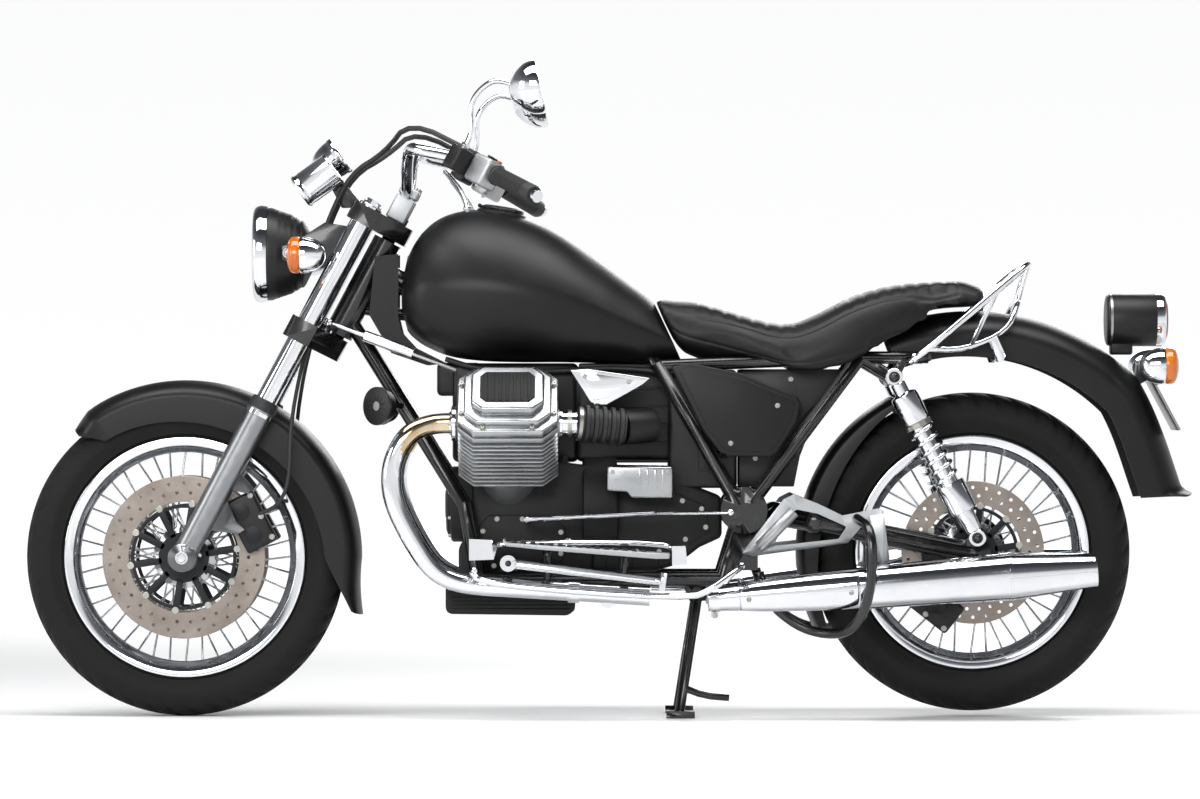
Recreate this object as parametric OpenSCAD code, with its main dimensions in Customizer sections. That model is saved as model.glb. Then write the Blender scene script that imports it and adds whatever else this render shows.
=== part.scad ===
// Cruiser motorcycle with a transverse V-twin engine and shaft drive.
// Frame: the front faces -Y, the rider's left is +X, +Z is up. The origin is on the floor, midway
// between the wheels. Heights inside the modules are taken from the front axle's height.

/* [Wheels] */
// Distance between the axles
wheelbase = 1560; // [1440:5:1900]
// Outer radius of the front tyre
front_tyre_r = 316; // [280:1:380]
// Outer radius of the rear tyre
rear_tyre_r = 316; // [280:1:330]
// Width of the front tyre
front_tyre_w = 110; // [90:1:118]
// Width of the rear tyre
rear_tyre_w = 140; // [110:1:150]
// Outer radius of the front rim's flange
front_rim_r = 238; // [210:1:262]
// Outer radius of the rear rim's flange
rear_rim_r = 231; // [205:1:262]
// Radius of the two front brake discs
front_disc_r = 161; // [130:1:180]
// Radius of the rear brake disc
rear_disc_r = 141; // [115:1:165]
// Thickness of a brake disc
disc_t = 5; // [4:0.5:7]
// Spokes in each wheel
spokes = 40; // [32:4:40]
// Diameter of a spoke
spoke_d = 4; // [3:0.5:5]
// Gap between the rear tyre and the floor on the centre stand
rear_lift = 10; // [4:1:30]

/* [Fork and steering] */
// Angle between the steering axis and the vertical
rake = 28; // [24:0.5:33]
// Distance from the steering axis forward to the plane of the fork legs
fork_offset = 60; // [50:1:72]
// Distance between the fork legs' centre lines
fork_spread = 200; // [184:1:236]
// Diameter of the chromed fork tubes
fork_tube_d = 43; // [36:1:46]
// Diameter of the lower fork legs
fork_leg_d = 54; // [46:1:58]
// Width across the bar ends
bar_width = 920; // [760:5:1040]
// Diameter of the handlebar
bar_d = 24; // [22:1:26]
// Radius of the headlamp's rim
headlamp_r = 96; // [80:1:108]

/* [Engine] */
// Height of the crankshaft above the front axle
crank_z = 104; // [90:1:115]
// Fore and aft place of the cylinders
cylinder_y = -137; // [-160:1:-120]
// Half the width of a cylinder's fins, across the cylinder
fin_half = 86; // [76:1:92]
// Number of fins on a cylinder
fins = 11; // [7:1:13]
// Diameter of an exhaust pipe
pipe_d = 40; // [34:1:46]
// Greatest diameter of a silencer
silencer_d = 94; // [80:1:104]

/* [Frame and body] */
// Diameter of the frame's main tubes
tube_d = 30; // [25:1:34]
// Half the width of the fuel tank
tank_half = 172; // [150:1:190]
// Half the width of the seat
seat_half = 156; // [140:1:175]
// Half the width of the front mudguard
front_guard_half = 71; // [66:1:72]
// Half the width of the rear mudguard
rear_guard_half = 92; // [84:1:94]
// Gap between a tyre and its mudguard's crown
guard_gap = 32; // [20:1:40]
// Thickness of sheet metal
sheet = 2.5; // [1.5:0.5:4]

/* [Stands] */
// Distance between the centre stand's feet
stand_spread = 214; // [200:2:226]
// How far the centre stand's feet stand forward of its pivot
stand_over = 36; // [24:1:50]

/* [Hidden] */
$fn = 48;

front_y = -wheelbase / 2;
rear_y = wheelbase / 2;
axle_z = front_tyre_r;
rear_axle_z = rear_tyre_r + rear_lift - front_tyre_r;
seat_gap = 0.3;
rear_crown_r = 478;
flick_r = rear_crown_r - 24;
flick_angle = 15;
mid_y = (rear_y + flick_r * cos(flick_angle) + front_y - front_tyre_r) / 2;

// ---------- shapes used by several pieces ----------

// A piece and its mirror image on the other side
module both() {
    children();
    mirror([1, 0, 0]) children();
}

// A straight round bar from a to b
module bar(a, b, d, d2 = 0) {
    v = b - a;
    length = norm(v);
    translate(a) rotate([0, acos(v.z / length), atan2(v.y, v.x)])
        cylinder(h = length, d1 = d, d2 = d2 > 0 ? d2 : d);
}

// A side profile, drawn as [y, z], made w wide about the plane x
module profile(x, w) {
    translate([x, 0, 0]) rotate([90, 0, 90]) linear_extrude(w, center = true) children();
}

// A round piece across the bike, centred on x, y, z
module across(x, y, z, w, d) {
    translate([x, y, z]) rotate([0, 90, 0]) cylinder(h = w, d = d, center = true, $fn = d > 300 ? 240 : 48);
}

// Cuts a path's corners k times, so that it bends smoothly
function rounded(p, k = 2) = k == 0 ? p : rounded([
    p[0],
    for (i = [0:len(p) - 2]) each [
        if (i > 0) p[i] * 0.75 + p[i + 1] * 0.25,
        if (i < len(p) - 2) p[i] * 0.25 + p[i + 1] * 0.75
    ],
    p[len(p) - 1]
], k - 1);

function unit(v) = v / norm(v);
function along(p, i) = unit(p[min(i + 1, len(p) - 1)] - p[max(i - 1, 0)]);
function square_to(u, t) = unit(u - t * (u * t));
function start_side(t) = square_to(abs(t.z) < 0.9 ? [0, 0, 1] : [0, 1, 0], t);

// A round tube along a path: rings carried along it without twist, then joined
module sweep(p, d, sides = 12) {
    n = len(p);
    ups = [for (i = 0, u = start_side(along(p, 0)); i < n; i = i + 1, u = i < n ? square_to(u, along(p, i)) : u) u];
    points = [for (i = [0:n - 1]) let (t = along(p, i), u = ups[i], v = cross(u, t))
        for (j = [0:sides - 1]) let (a = 360 * j / sides) p[i] + (u * cos(a) + v * sin(a)) * d / 2];
    polyhedron(points, loft_faces(n, sides));
}

// Triangles that join n rings of m points, with both ends closed as fans
function loft_faces(n, m) = [
    for (i = [0:n - 2], j = [0:m - 1]) let (a = i * m + j, b = i * m + (j + 1) % m, c = a + m, d = b + m)
        each [[a, b, d], [a, d, c]],
    for (j = [1:m - 2]) each [[0, j + 1, j], [(n - 1) * m, (n - 1) * m + j, (n - 1) * m + j + 1]]
];

module loft(rings) {
    polyhedron([for (r = rings) each r], loft_faces(len(rings), len(rings[0])));
}

// A sheet with a thickness: an outer and an inner grid of points, closed round all its edges
module shell(outer, inner) {
    n = len(outer);
    m = len(outer[0]);
    k = n * m;
    polyhedron([for (r = outer) each r, for (r = inner) each r], [
        for (i = [0:n - 2], j = [0:m - 2]) let (a = i * m + j)
            each [[a, a + m, a + m + 1], [a, a + m + 1, a + 1],
                  [k + a, k + a + m + 1, k + a + m], [k + a, k + a + 1, k + a + m + 1]],
        for (i = [0:n - 2]) let (a = i * m, b = i * m + m - 1)
            each [[a, k + a, k + a + m], [a, k + a + m, a + m],
                  [b, b + m, k + b + m], [b, k + b + m, k + b]],
        for (j = [0:m - 2]) let (a = j, b = (n - 1) * m + j)
            each [[a, a + 1, k + a + 1], [a, k + a + 1, k + a],
                  [b, k + b, k + b + 1], [b, k + b + 1, b + 1]]
    ]);
}

// One value between the stations of a table, with y in the first column
function between(table, y, col, i = 0) =
    i >= len(table) - 2 || y <= table[i + 1][0]
        ? let (a = table[i], b = table[i + 1], t = max(0, min(1, (y - a[0]) / (b[0] - a[0])))) a[col] + (b[col] - a[col]) * t
        : between(table, y, col, i + 1);

// A rounded cross section: half width, top, bottom, how square it is and how much its top narrows
function body_ring(y, half, top, low, square = 2.5, narrow = 0.2, m = 28) =
    let (mid = (top + low) / 2, h = (top - low) / 2)
    [for (j = [0:m - 1]) let (
        a = 360 * j / m,
        c = cos(a), s = sin(a),
        z = sign(s) * pow(abs(s), 2 / square),
        x = sign(c) * pow(abs(c), 2 / square) * (1 - narrow * max(0, z))
    ) [half * x, y, mid + h * z]];

// ---------- wheels ----------

// Puts a wheel, drawn about the Z axis, on its axle
module on_axle(y, z) {
    translate([0, y, z]) rotate([0, 90, 0]) children();
}

bead_drop = 12;
module tyre(r, w, rim_r) {
    bead_r = rim_r - bead_drop;
    side = (r - bead_r) / 2;
    rotate_extrude() polygon([
        [bead_r, -w * 0.30], [rim_r + 4, -w * 0.36], [rim_r + side * 0.7, -w * 0.5],
        [r - side * 0.75, -w * 0.485], [r - side * 0.25, -w * 0.36], [r - side * 0.05, -w * 0.18], [r, 0],
        [r - side * 0.05, w * 0.18], [r - side * 0.25, w * 0.36], [r - side * 0.75, w * 0.485],
        [rim_r + side * 0.7, w * 0.5], [rim_r + 4, w * 0.36], [bead_r, w * 0.30],
        [bead_r + 5, w * 0.27], [rim_r + side * 0.6, w * 0.42], [r - side * 0.8, w * 0.40], [r - 12, 0],
        [r - side * 0.8, -w * 0.40], [rim_r + side * 0.6, -w * 0.42], [bead_r + 5, -w * 0.27]
    ]);
}

// The rim's channel, which passes inside the tyre's beads
module rim(r, w) {
    seat_r = r - bead_drop - seat_gap;
    h = w * 0.36 + 2;
    rotate_extrude() polygon([
        [r, h + 4], [r, h + 1], [r - 3, h], [seat_r - 0.5, h - 3], [seat_r - 0.5, w * 0.20], [seat_r - 14, w * 0.12],
        [seat_r - 14, -w * 0.12], [seat_r - 0.5, -w * 0.20], [seat_r - 0.5, 3 - h], [r - 3, -h], [r, -h - 1],
        [r, -h - 4], [r - 5, -h - 4], [seat_r - 5, -h], [seat_r - 5, -w * 0.22], [seat_r - 18, -w * 0.14],
        [seat_r - 18, w * 0.14], [seat_r - 5, w * 0.22], [seat_r - 5, h], [r - 5, h + 4]
    ]);
}
function rim_inner(r) = r - bead_drop - seat_gap - 18;

// Spokes run from the hub's flanges to the rim's well, leaning one way and the other in turn
module spoke_set(hub_r, flange_x, rim_r) {
    pitch = 360 / spokes;
    for (i = [0:spokes - 1]) {
        side = i % 2 == 0 ? 1 : -1;
        lean = floor(i / 2) % 2 == 0 ? 1 : -1;
        a = i * pitch;
        from = a + lean * pitch * 2.2;
        bar([hub_r * cos(from), hub_r * sin(from), side * (flange_x + lean * spoke_d * 0.8)],
            [(rim_inner(rim_r) + 2) * cos(a), (rim_inner(rim_r) + 2) * sin(a), side * 5], spoke_d);
    }
}

hub_flange_r = 62;
axle_d = 20;
module hub(half, flange_x, rim_r) {
    difference() {
        union() {
            cylinder(h = 2 * half, d = 56, center = true);
            for (s = [-1, 1]) translate([0, 0, s * flange_x]) cylinder(h = 10, r = hub_flange_r, center = true);
        }
        cylinder(h = 2 * half + 2, d = axle_d + 0.2, center = true);
    }
    spoke_set(hub_flange_r - 7, flange_x, rim_r);
}

module brake_disc(r, x, inner_r, carrier_r) {
    translate([0, 0, x]) {
        difference() {
            cylinder(h = disc_t, r = r, center = true);
            cylinder(h = disc_t + 2, r = inner_r, center = true);
        }
        difference() {
            cylinder(h = disc_t - 1, r = inner_r, center = true);
            cylinder(h = disc_t + 2, r = carrier_r, center = true);
        }
    }
}

front_disc_x = 64;
front_hub_half = 70;
module front_tyre() { color("#1c1c1d") on_axle(front_y, 0) tyre(front_tyre_r, front_tyre_w, front_rim_r); }
module front_rim() { color("#c8c8c8") on_axle(front_y, 0) rim(front_rim_r, front_tyre_w); }
module front_hub() { color("#2a2a2c") on_axle(front_y, 0) hub(front_hub_half, 40, front_rim_r); }
module front_discs() {
    color("#9a928a") on_axle(front_y, 0)
        for (s = [-1, 1]) brake_disc(front_disc_r, s * front_disc_x, front_disc_r * 0.68, 28 + seat_gap);
}

rear_disc_x = 76;
rear_hub_half = 84;
module rear_tyre() { color("#1c1c1d") on_axle(rear_y, rear_axle_z) tyre(rear_tyre_r, rear_tyre_w, rear_rim_r); }
module rear_rim() { color("#c8c8c8") on_axle(rear_y, rear_axle_z) rim(rear_rim_r, rear_tyre_w); }
module rear_hub() { color("#2a2a2c") on_axle(rear_y, rear_axle_z) hub(rear_hub_half, 48, rear_rim_r); }
module rear_disc() {
    color("#9a928a") on_axle(rear_y, rear_axle_z)
        brake_disc(rear_disc_r, rear_disc_x, rear_disc_r * 0.68, 28 + seat_gap);
}

// ---------- fork, which turns about the steering axis ----------

// Fork frame: origin at the front axle, +Z up the legs, +Y square to them and rearward
module fork_frame() {
    translate([0, front_y, 0]) rotate([-rake, 0, 0]) children();
}

leg_x = fork_spread / 2;
caliper_w = 48;
caliper_out = front_disc_x + 2 + caliper_w / 2;
leg_top = 336;
lower_clamp_s = 505;
upper_clamp_s = 765;
lower_clamp_t = 44;
upper_clamp_t = 36;
tube_top = upper_clamp_s + upper_clamp_t / 2 + 6;
stem_d = 28;
damper_eye_x = 70;
damper_eye_y = fork_offset - 25;
damper_eye_s = lower_clamp_s + 40;
head_low = lower_clamp_s + lower_clamp_t / 2 + 5;
head_high = upper_clamp_s - upper_clamp_t / 2 - 5;
head_tube_d = 58;

module fork_tubes() {
    color("#d8d8da") fork_frame() both()
        translate([leg_x, 0, leg_top - 60]) cylinder(h = tube_top - leg_top + 60, d = fork_tube_d);
}

module fork_legs() {
    color("#a8a9ab") fork_frame() {
        both() difference() {
            union() {
                translate([leg_x, 0, 0]) cylinder(h = leg_top, d1 = fork_leg_d - 6, d2 = fork_leg_d);
                across(leg_x, 0, 0, fork_leg_d - 6, 56);
                // ears that hold the caliper
                profile(caliper_out + seat_gap + 7, 14) polygon([[14, 70], [74, 92], [82, 106], [60, 112], [14, 150]]);
                profile(caliper_out + seat_gap + 7, 14) polygon([[14, 160], [54, 172], [58, 186], [14, 205]]);
            }
            translate([leg_x, 0, leg_top - 60 - seat_gap]) cylinder(h = 70, d = fork_tube_d + 2 * seat_gap);
        }
        across(0, 0, 0, fork_spread + fork_leg_d + 10, axle_d);
        both() difference() {
            across(leg_x - fork_leg_d / 2 + 2, 0, 0, 2 * (leg_x - fork_leg_d / 2 - front_hub_half - 1), 34);
            across(leg_x, 0, 0, fork_leg_d * 4, axle_d - 1);
        }
    }
}

upper_clamp_back = 34;
lower_clamp_back = 24;
module clamp_plate(s, t, reach, back) {
    translate([0, 0, s - t / 2]) linear_extrude(t) polygon([
        [-leg_x - reach, -reach * 0.7], [-leg_x - reach * 0.7, -reach], [leg_x + reach * 0.7, -reach],
        [leg_x + reach, -reach * 0.7], [leg_x + reach, reach * 0.75], [back + 18, fork_offset + back - 8], [back + 10, fork_offset + back],
        [-back - 10, fork_offset + back], [-back - 18, fork_offset + back - 8], [-leg_x - reach, reach * 0.75]
    ]);
}

module fork_clamps() {
    color("#1e1e20") fork_frame() {
        difference() {
            union() {
                clamp_plate(lower_clamp_s, lower_clamp_t, 32, lower_clamp_back);
                clamp_plate(upper_clamp_s, upper_clamp_t, 30, upper_clamp_back);
            }
            both() translate([leg_x, 0, lower_clamp_s - 60]) cylinder(h = 400, d = fork_tube_d + 2 * seat_gap);
        }
        translate([0, fork_offset, lower_clamp_s]) cylinder(h = upper_clamp_s - lower_clamp_s + 30, d = stem_d);
        // seat of the damper's eye
        translate([damper_eye_x, damper_eye_y, lower_clamp_s]) cylinder(h = damper_eye_s - lower_clamp_s - 6.5, d = 24);
        translate([0, fork_offset, upper_clamp_s + upper_clamp_t / 2]) cylinder(h = 14, d = 42, $fn = 6);
    }
}

// Handlebar in the fork frame, so that it turns with it
bar_clamp = [0, fork_offset - 6, upper_clamp_s + 72];
riser_x = 42;
function fork_point(x, y, z) = let (dy = y - front_y) [x, dy * cos(rake) - z * sin(rake), dy * sin(rake) + z * cos(rake)];
bar_half = bar_width / 2;
grip_start = fork_point(bar_half - 142, -171 - (bar_half - 460) * 0.5, 753);
grip_end = fork_point(bar_half, -76, 700);
bar_turn = fork_point(176, -334, 806);
grip_axis = unit(grip_end - grip_start);
grip_d = 36;
bar_path = rounded([
    [riser_x - 18, bar_clamp.y, bar_clamp.z], [riser_x + 26, bar_clamp.y, bar_clamp.z], bar_turn,
    bar_turn + [40, 26, 6], grip_start - grip_axis * 92, grip_start - grip_axis * 40, grip_end
], 3);

module handlebar() {
    color("#d8d8da") fork_frame() {
        both() sweep(bar_path, bar_d, 16);
        across(0, bar_clamp.y, bar_clamp.z, 2 * (riser_x - 8), bar_d + 2);
        both() difference() {
            translate([riser_x - 15, bar_clamp.y - 20, upper_clamp_s + upper_clamp_t / 2 + seat_gap])
                cube([30, 40, bar_clamp.z - upper_clamp_s - upper_clamp_t / 2 + 20]);
            across(riser_x, bar_clamp.y, bar_clamp.z, 60, bar_d - 1);
        }
    }
}

module grips() {
    color("#242425") fork_frame() both() difference() {
        bar(grip_start + grip_axis * 26, grip_end - grip_axis * 4, grip_d);
        bar(grip_start, grip_end + grip_axis * 20, bar_d + 2 * seat_gap);
    }
}

module hand_controls() {
    color("#8c8d90") fork_frame() both() {
        // switch box round the bar
        difference() {
            translate(grip_start) rotate([0, acos(grip_axis.z), atan2(grip_axis.y, grip_axis.x)])
                translate([-24, -24, -40]) cube([58, 46, 58]);
            bar(grip_start - grip_axis * 70, grip_end, bar_d + 2 * seat_gap);
        }
        // perch ahead of the bar, and its lever
        translate(grip_start) rotate([0, acos(grip_axis.z), atan2(grip_axis.y, grip_axis.x)])
            translate([-18, -58, -77]) cube([50, 58 - bar_d / 2 - seat_gap - 1, 38]);
        sweep(rounded([
            grip_start + [-52, -84, -34], grip_start + [-18, -58, -46], grip_start + [34, -22, -64],
            grip_start + [67, 2, -88]
        ], 1), 12, 8);
    }
}

mirror_eye = fork_point(bar_half - 150, -105, 912);
mirror_foot = grip_start - grip_axis * 62 + [21, -28, 18 + seat_gap];
module mirrors() {
    color("#d8d8da") fork_frame() both() {
        sweep(rounded([
            mirror_foot, mirror_foot + [0, 0, 32], mirror_eye + [-30, -84, -66],
            mirror_eye + [-16, -64, -8], mirror_eye + [0, -22, 0]
        ], 2), 13, 10);
        translate(mirror_eye) rotate([rake - 90 + 12, 0, 0]) rotate_extrude() polygon([
            [0, -28], [12, -28], [22, -22], [38, -8], [50, 10], [53, 26], [53, 32], [49, 34], [0, 34]
        ]);
    }
}

lamp_y = -572;
lamp_z = 601;
module headlamp() {
    color("#2b2b2d") translate([0, lamp_y, lamp_z]) rotate([90, 0, 0]) {
        // bowl
        rotate_extrude() polygon([
            [0, -46], [34, -44], [62, -30], [78, -6], [headlamp_r - 10, 20], [headlamp_r - 4, 36], [headlamp_r - 4, 44],
            [0, 44]
        ]);
        // rim and lens
        translate([0, 0, 44 + seat_gap]) rotate_extrude() polygon([
            [0, 0], [headlamp_r - 1, 0], [headlamp_r, 6], [headlamp_r, 18], [headlamp_r - 4, 26],
            [headlamp_r - 10, 27], [headlamp_r - 16, 23], [headlamp_r * 0.45, 29], [0, 32]
        ]);
    }
    // pivot bolts
    color("#2b2b2d") both() across(headlamp_r - 6, lamp_y, lamp_z, 32, 16);
    // ears that carry the lamp from the fork tubes
    color("#1e1e20") both() difference() {
        profile(headlamp_r + 5, 6) polygon([
            [lamp_y - 12, lamp_z + 14], [lamp_y + 10, lamp_z + 20], [-500, lamp_z + 60], [-448, lamp_z + 52],
            [-470, lamp_z + 10], [-512, lamp_z - 26], [lamp_y + 10, lamp_z - 20], [lamp_y - 12, lamp_z - 14]
        ]);
        fork_frame() translate([leg_x, 0, 0]) cylinder(h = 900, d = fork_tube_d + 2 * seat_gap);
    }
}

// Instrument cups, tilted towards the rider
gauge_tilt = 54;
module gauges() {
    color("#d0d0d2") {
        translate([54, -485, 769]) rotate([-gauge_tilt, 0, 0]) rotate_extrude()
            polygon([[0, -82], [31, -82], [35, -78], [35, -74], [33, -72], [34, 0], [30, 2], [0, 2]]);
        translate([-48, -475, 799]) rotate([-gauge_tilt, 0, 0]) rotate_extrude()
            polygon([[0, -64], [16, -60], [30, -46], [37, -26], [39, -8], [40, 0], [36, 3], [0, 3]]);
    }
    color("#1e1e20") difference() {
        union() {
            both() profile(14, 8) polygon([[-470, 690], [-500, 748], [-488, 762], [-462, 740], [-425, 690]]);
            profile(4, 108) polygon([[-506, 752], [-482, 786], [-472, 778], [-484, 742]]);
        }
        translate([54, -485, 769]) rotate([-gauge_tilt, 0, 0]) cylinder(h = 200, r = 34 + seat_gap, center = true);
        translate([-48, -475, 799]) rotate([-gauge_tilt, 0, 0]) cylinder(h = 200, r = 39 + seat_gap, center = true);
        fork_frame() translate([-200, -200, upper_clamp_s - 100]) cube([400, 400, 100 + upper_clamp_t / 2 + seat_gap]);
    }
}

module bullet_lamp() {
    rotate_extrude() polygon([[0, -44], [10, -43], [22, -36], [32, -20], [36, 0], [36, 20], [33, 26], [24, 31], [0, 34]]);
}

module front_indicators() {
    color("#d0a060") both() {
        translate([148, -539, 596]) rotate([90, 0, 0]) bullet_lamp();
        difference() {
            bar([headlamp_r + 8 + seat_gap, -532, 596], [130, -532, 596], 14);
            translate([148, -539, 596]) rotate([90, 0, 0]) cylinder(h = 60, r = 30, center = true);
        }
    }
}

// ---------- mudguards ----------

// One cross section of a mudguard: crowned top, straight skirts, at distance r and angle a round the axle
function guard_arc(half, crown, skirt, r, a, m = 10) =
    let (out = [cos(a), sin(a)])
    [for (j = [0:m]) let (
        b = -90 + 180 * (j - 1) / (m - 2),
        x = j == 0 ? -half : j == m ? half : half * sin(b),
        drop = j == 0 || j == m ? skirt : crown * (1 - cos(b))
    ) [x, (r - drop) * out[0], (r - drop) * out[1]]];

// Stations are [angle, crown radius, skirt depth, half width]
module mudguard(y, z, stations, crown, t) {
    translate([0, y, z]) shell(
        [for (s = stations) guard_arc(s[3], min(crown, s[2] * 0.9), s[2], s[1], s[0])],
        [for (s = stations) guard_arc(s[3] - t, min(crown, s[2] * 0.9), s[2] - t, s[1] - t, s[0])]
    );
}

front_crown_r = front_tyre_r + guard_gap + sheet;
module front_mudguard() {
    tip = [for (i = [0:5]) let (t = i / 5) [131 - 7 * t, front_crown_r - 16 + 14 * t, 18 + 54 * t, front_guard_half - 12 * (1 - t)]];
    top = [for (i = [1:12]) let (t = i / 12) [124 - 124 * t, front_crown_r, 72 + 14 * sin(180 * t), front_guard_half]];
    tail = [for (i = [1:5]) let (t = i / 5) [-18 * t, front_crown_r - 8 * sin(180 * t) + 28 * t * t, 72 - 50 * t, front_guard_half]];
    color("#262628") {
        mudguard(front_y, 0, concat(tip, top, tail), 34, sheet);
        // stays to the fork legs
        both() fork_frame() difference() {
            translate([front_guard_half - sheet, -16, 250]) cube([24, 32, 60]);
            translate([leg_x, 0, 0]) cylinder(h = leg_top, d = fork_leg_d + 2 * seat_gap);
        }
    }
}

module rear_mudguard() {
    top = [for (i = [0:10]) let (t = i / 10) [112 - 66 * t, rear_crown_r, 88 + 6 * t, rear_guard_half]];
    tail = [for (i = [1:8]) let (t = i / 8) [46 - 28 * t, rear_crown_r - 40 * sin(90 * t), 94 - 4 * t, rear_guard_half]];
    flick = [for (i = [1:3]) let (t = i / 3) [18 - (18 - flick_angle) * t, flick_r - 16 + 16 * t * t, 90 - 66 * t, rear_guard_half]];
    inner = [for (i = [0:12]) let (t = i / 12) [206 - 88 * t, rear_tyre_r + guard_gap, 26 + 22 * sin(180 * t), rear_guard_half - 22]];
    color("#262628") {
        mudguard(rear_y, rear_axle_z, concat(top, tail, flick), 52, sheet);
        mudguard(rear_y, rear_axle_z, inner, 18, sheet + 1);
    }
}

// ---------- frame ----------

pivot = [0, 327, 94];
function head_point(s) = [0, front_y + fork_offset * cos(rake) + s * sin(rake), s * cos(rake) - fork_offset * sin(rake)];
rail_x = 108;
shock_top = [150, 621, 356];
shock_low = [150, rear_y + 4, rear_axle_z + 30];
stand_pivot = [0, 236, -74];
ear_x = stand_spread / 2 - 36;
ear_t = 8;
stand_pin_d = 12;
spine_z = 452;
rail_z = -42;

// Backbone under the tank
module spine(d) {
    bar(head_point(head_high - 60), [0, -180, spine_z], d);
    bar([0, -186, spine_z + 2], [0, 150, spine_z - 42], d);
    bar(head_point(head_low + 60), [0, -60, spine_z - 12], d / 2);
}

// Lower cradle rail, on the left
module cradle_rail(d) {
    bar([rail_x, -206, rail_z], [rail_x, 290, rail_z], d);
}

seat_rail_z = 395;
module frame() {
    color("#1f1f21") {
        // steering head
        difference() {
            union() {
                fork_frame() translate([0, fork_offset, head_low]) cylinder(h = head_high - head_low, d = head_tube_d);
                spine(46);
                both() bar(head_point(head_low + 40), [rail_x - 4, -223, 104], tube_d);
            }
            fork_frame() translate([0, fork_offset, head_low - 1]) cylinder(h = head_high - head_low + 2, d = stem_d + 1);
        }
        both() {
            // front down tubes and lower cradle
            bar([rail_x - 4, -223, 110], [rail_x, -196, rail_z], tube_d);
            cradle_rail(tube_d);
            bar([rail_x, 284, rail_z - 4], [rail_x + 4, pivot.y, pivot.z], tube_d);
            // triangle round the side panel
            bar([18, 140, spine_z - 42], [rail_x + 8, 158, 376], tube_d - 4);
            bar([rail_x + 8, 155, 384], [rail_x + 8, pivot.y - 10, pivot.z + 10], tube_d - 2);
            bar([rail_x + 8, pivot.y + 14, pivot.z + 14], [rail_x + 4, 556, 396], tube_d - 2);
            // seat rail
            bar([rail_x + 6, 152, 378], [rail_x + 4, 560, seat_rail_z], tube_d - 6);
            bar([rail_x + 4, 552, seat_rail_z], [rail_x + 4, 690, seat_rail_z], tube_d - 6);
            bar([rail_x + 4, 640, 394], [rail_x + 4, shock_top.y, shock_top.z], tube_d - 8);
            bar([rail_x + 4, 560, 392], [rail_x + 4, shock_top.y, shock_top.z], tube_d - 8);
            bar([rail_x - 8, shock_top.y, shock_top.z], [shock_top.x + 16, shock_top.y, shock_top.z], 14);
            // pivot boss
            across(rail_x + 4, pivot.y, pivot.z, tube_d + 4, 92);
            // tab for the side panel's peg
            profile(rail_x + 8, 6) polygon([[246, 196], [294, 196], [294, 228], [246, 236]]);
            // lug to the mudguard
            bar([rear_guard_half + seat_gap, 690, seat_rail_z], [rail_x + 4, 690, seat_rail_z], 16);
            // plate behind the cradle for the rails and footrests
            profile(rail_x + 16, 6) polygon([[304, -24], [354, -24], [354, 44], [304, 50]]);
            // ears and pins for the centre stand
            profile(ear_x, ear_t) polygon([[200, rail_z + 4], [268, rail_z + 4], [252, stand_pivot.z - 12], [220, stand_pivot.z - 12]]);
            across(ear_x + ear_t / 2 + 6, stand_pivot.y, stand_pivot.z, ear_t + 12, stand_pin_d);
        }
        // side stand's bracket and pin
        profile(rail_x, 12) polygon([[-156, -40], [-116, -40], [-124, 4], [-148, 4]]);
        bar([rail_x, side_pivot.y, side_pivot.z], [side_pivot.x - 10, side_pivot.y, side_pivot.z], 20);
        bar([rail_x, side_pivot.y, side_pivot.z], [side_pivot.x + 13, side_pivot.y, side_pivot.z], stand_pin_d);
        // cross tubes
        bar([-rail_x, pivot.y, pivot.z], [rail_x, pivot.y, pivot.z], 30);
        bar([-rail_x, 206, rail_z], [rail_x, 206, rail_z], 18);
        bar([-rail_x, 262, rail_z], [rail_x, 262, rail_z], 18);
    }
}

module neck_covers() {
    color("#2b2b2d") both() bar([head_tube_d / 2 + seat_gap, -398, 574], [52, -398, 574], 12);
    color("#2b2b2d") both() profile(52, 5) polygon([
        [-402, 596], [-356, 600], [-356, 474], [-348, 442], [-322, 414], [-262, 384], [-300, 380], [-370, 404], [-414, 480]
    ]);
}

// ---------- swingarm, shocks and rear brake ----------

arm_x = 118;
module swingarm() {
    color("#1e1e20") {
        // left arm and right shaft housing
        bar([72, pivot.y + 64, pivot.z - 9], [arm_x - 5, 468, 72], 44);
        bar([arm_x - 5, 468, 72], [arm_x - 4, rear_y, rear_axle_z], 42);
        bar([-72, pivot.y + 64, pivot.z - 9], [10 - arm_x, 468, 72], 46);
        translate([arm_x - 5, 468, 72]) sphere(d = 52);
        translate([10 - arm_x, 468, 72]) sphere(d = 54);
        bar([10 - arm_x, 468, 72], [10 - arm_x, rear_y - 30, rear_axle_z], 46);
        bar([-76, pivot.y + 62, pivot.z - 8], [76, pivot.y + 62, pivot.z - 8], 46);
        // tongue that carries the inner mudguard
        difference() {
            profile(0, 60) polygon([[400, 70], [400, 98], [460, 104], [460, 62]]);
            across(0, rear_y, rear_axle_z, 100, 2 * (rear_tyre_r + guard_gap + seat_gap));
        }
        across(arm_x - 5, rear_y, rear_axle_z, 38, 64);
        // final drive case
        across(-rear_hub_half - 18, rear_y, rear_axle_z, 32, 150);
        across(-rear_hub_half - 38, rear_y, rear_axle_z, 20, 96);
        across(6, rear_y, rear_axle_z, 2 * arm_x + 28, axle_d);
        // studs that carry the shocks
        bar([arm_x - 10, shock_low.y, shock_low.z], [shock_low.x + 16, shock_low.y, shock_low.z], 14);
        bar([10 - arm_x, shock_low.y, shock_low.z], [-shock_low.x - 16, shock_low.y, shock_low.z], 14);
        // arm that carries the rear caliper
        profile(rear_disc_x + caliper_w / 2 + seat_gap + 4, 8) polygon([[676, 12], [728, 12], [724, -110], [690, -110]]);
    }
}

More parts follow.
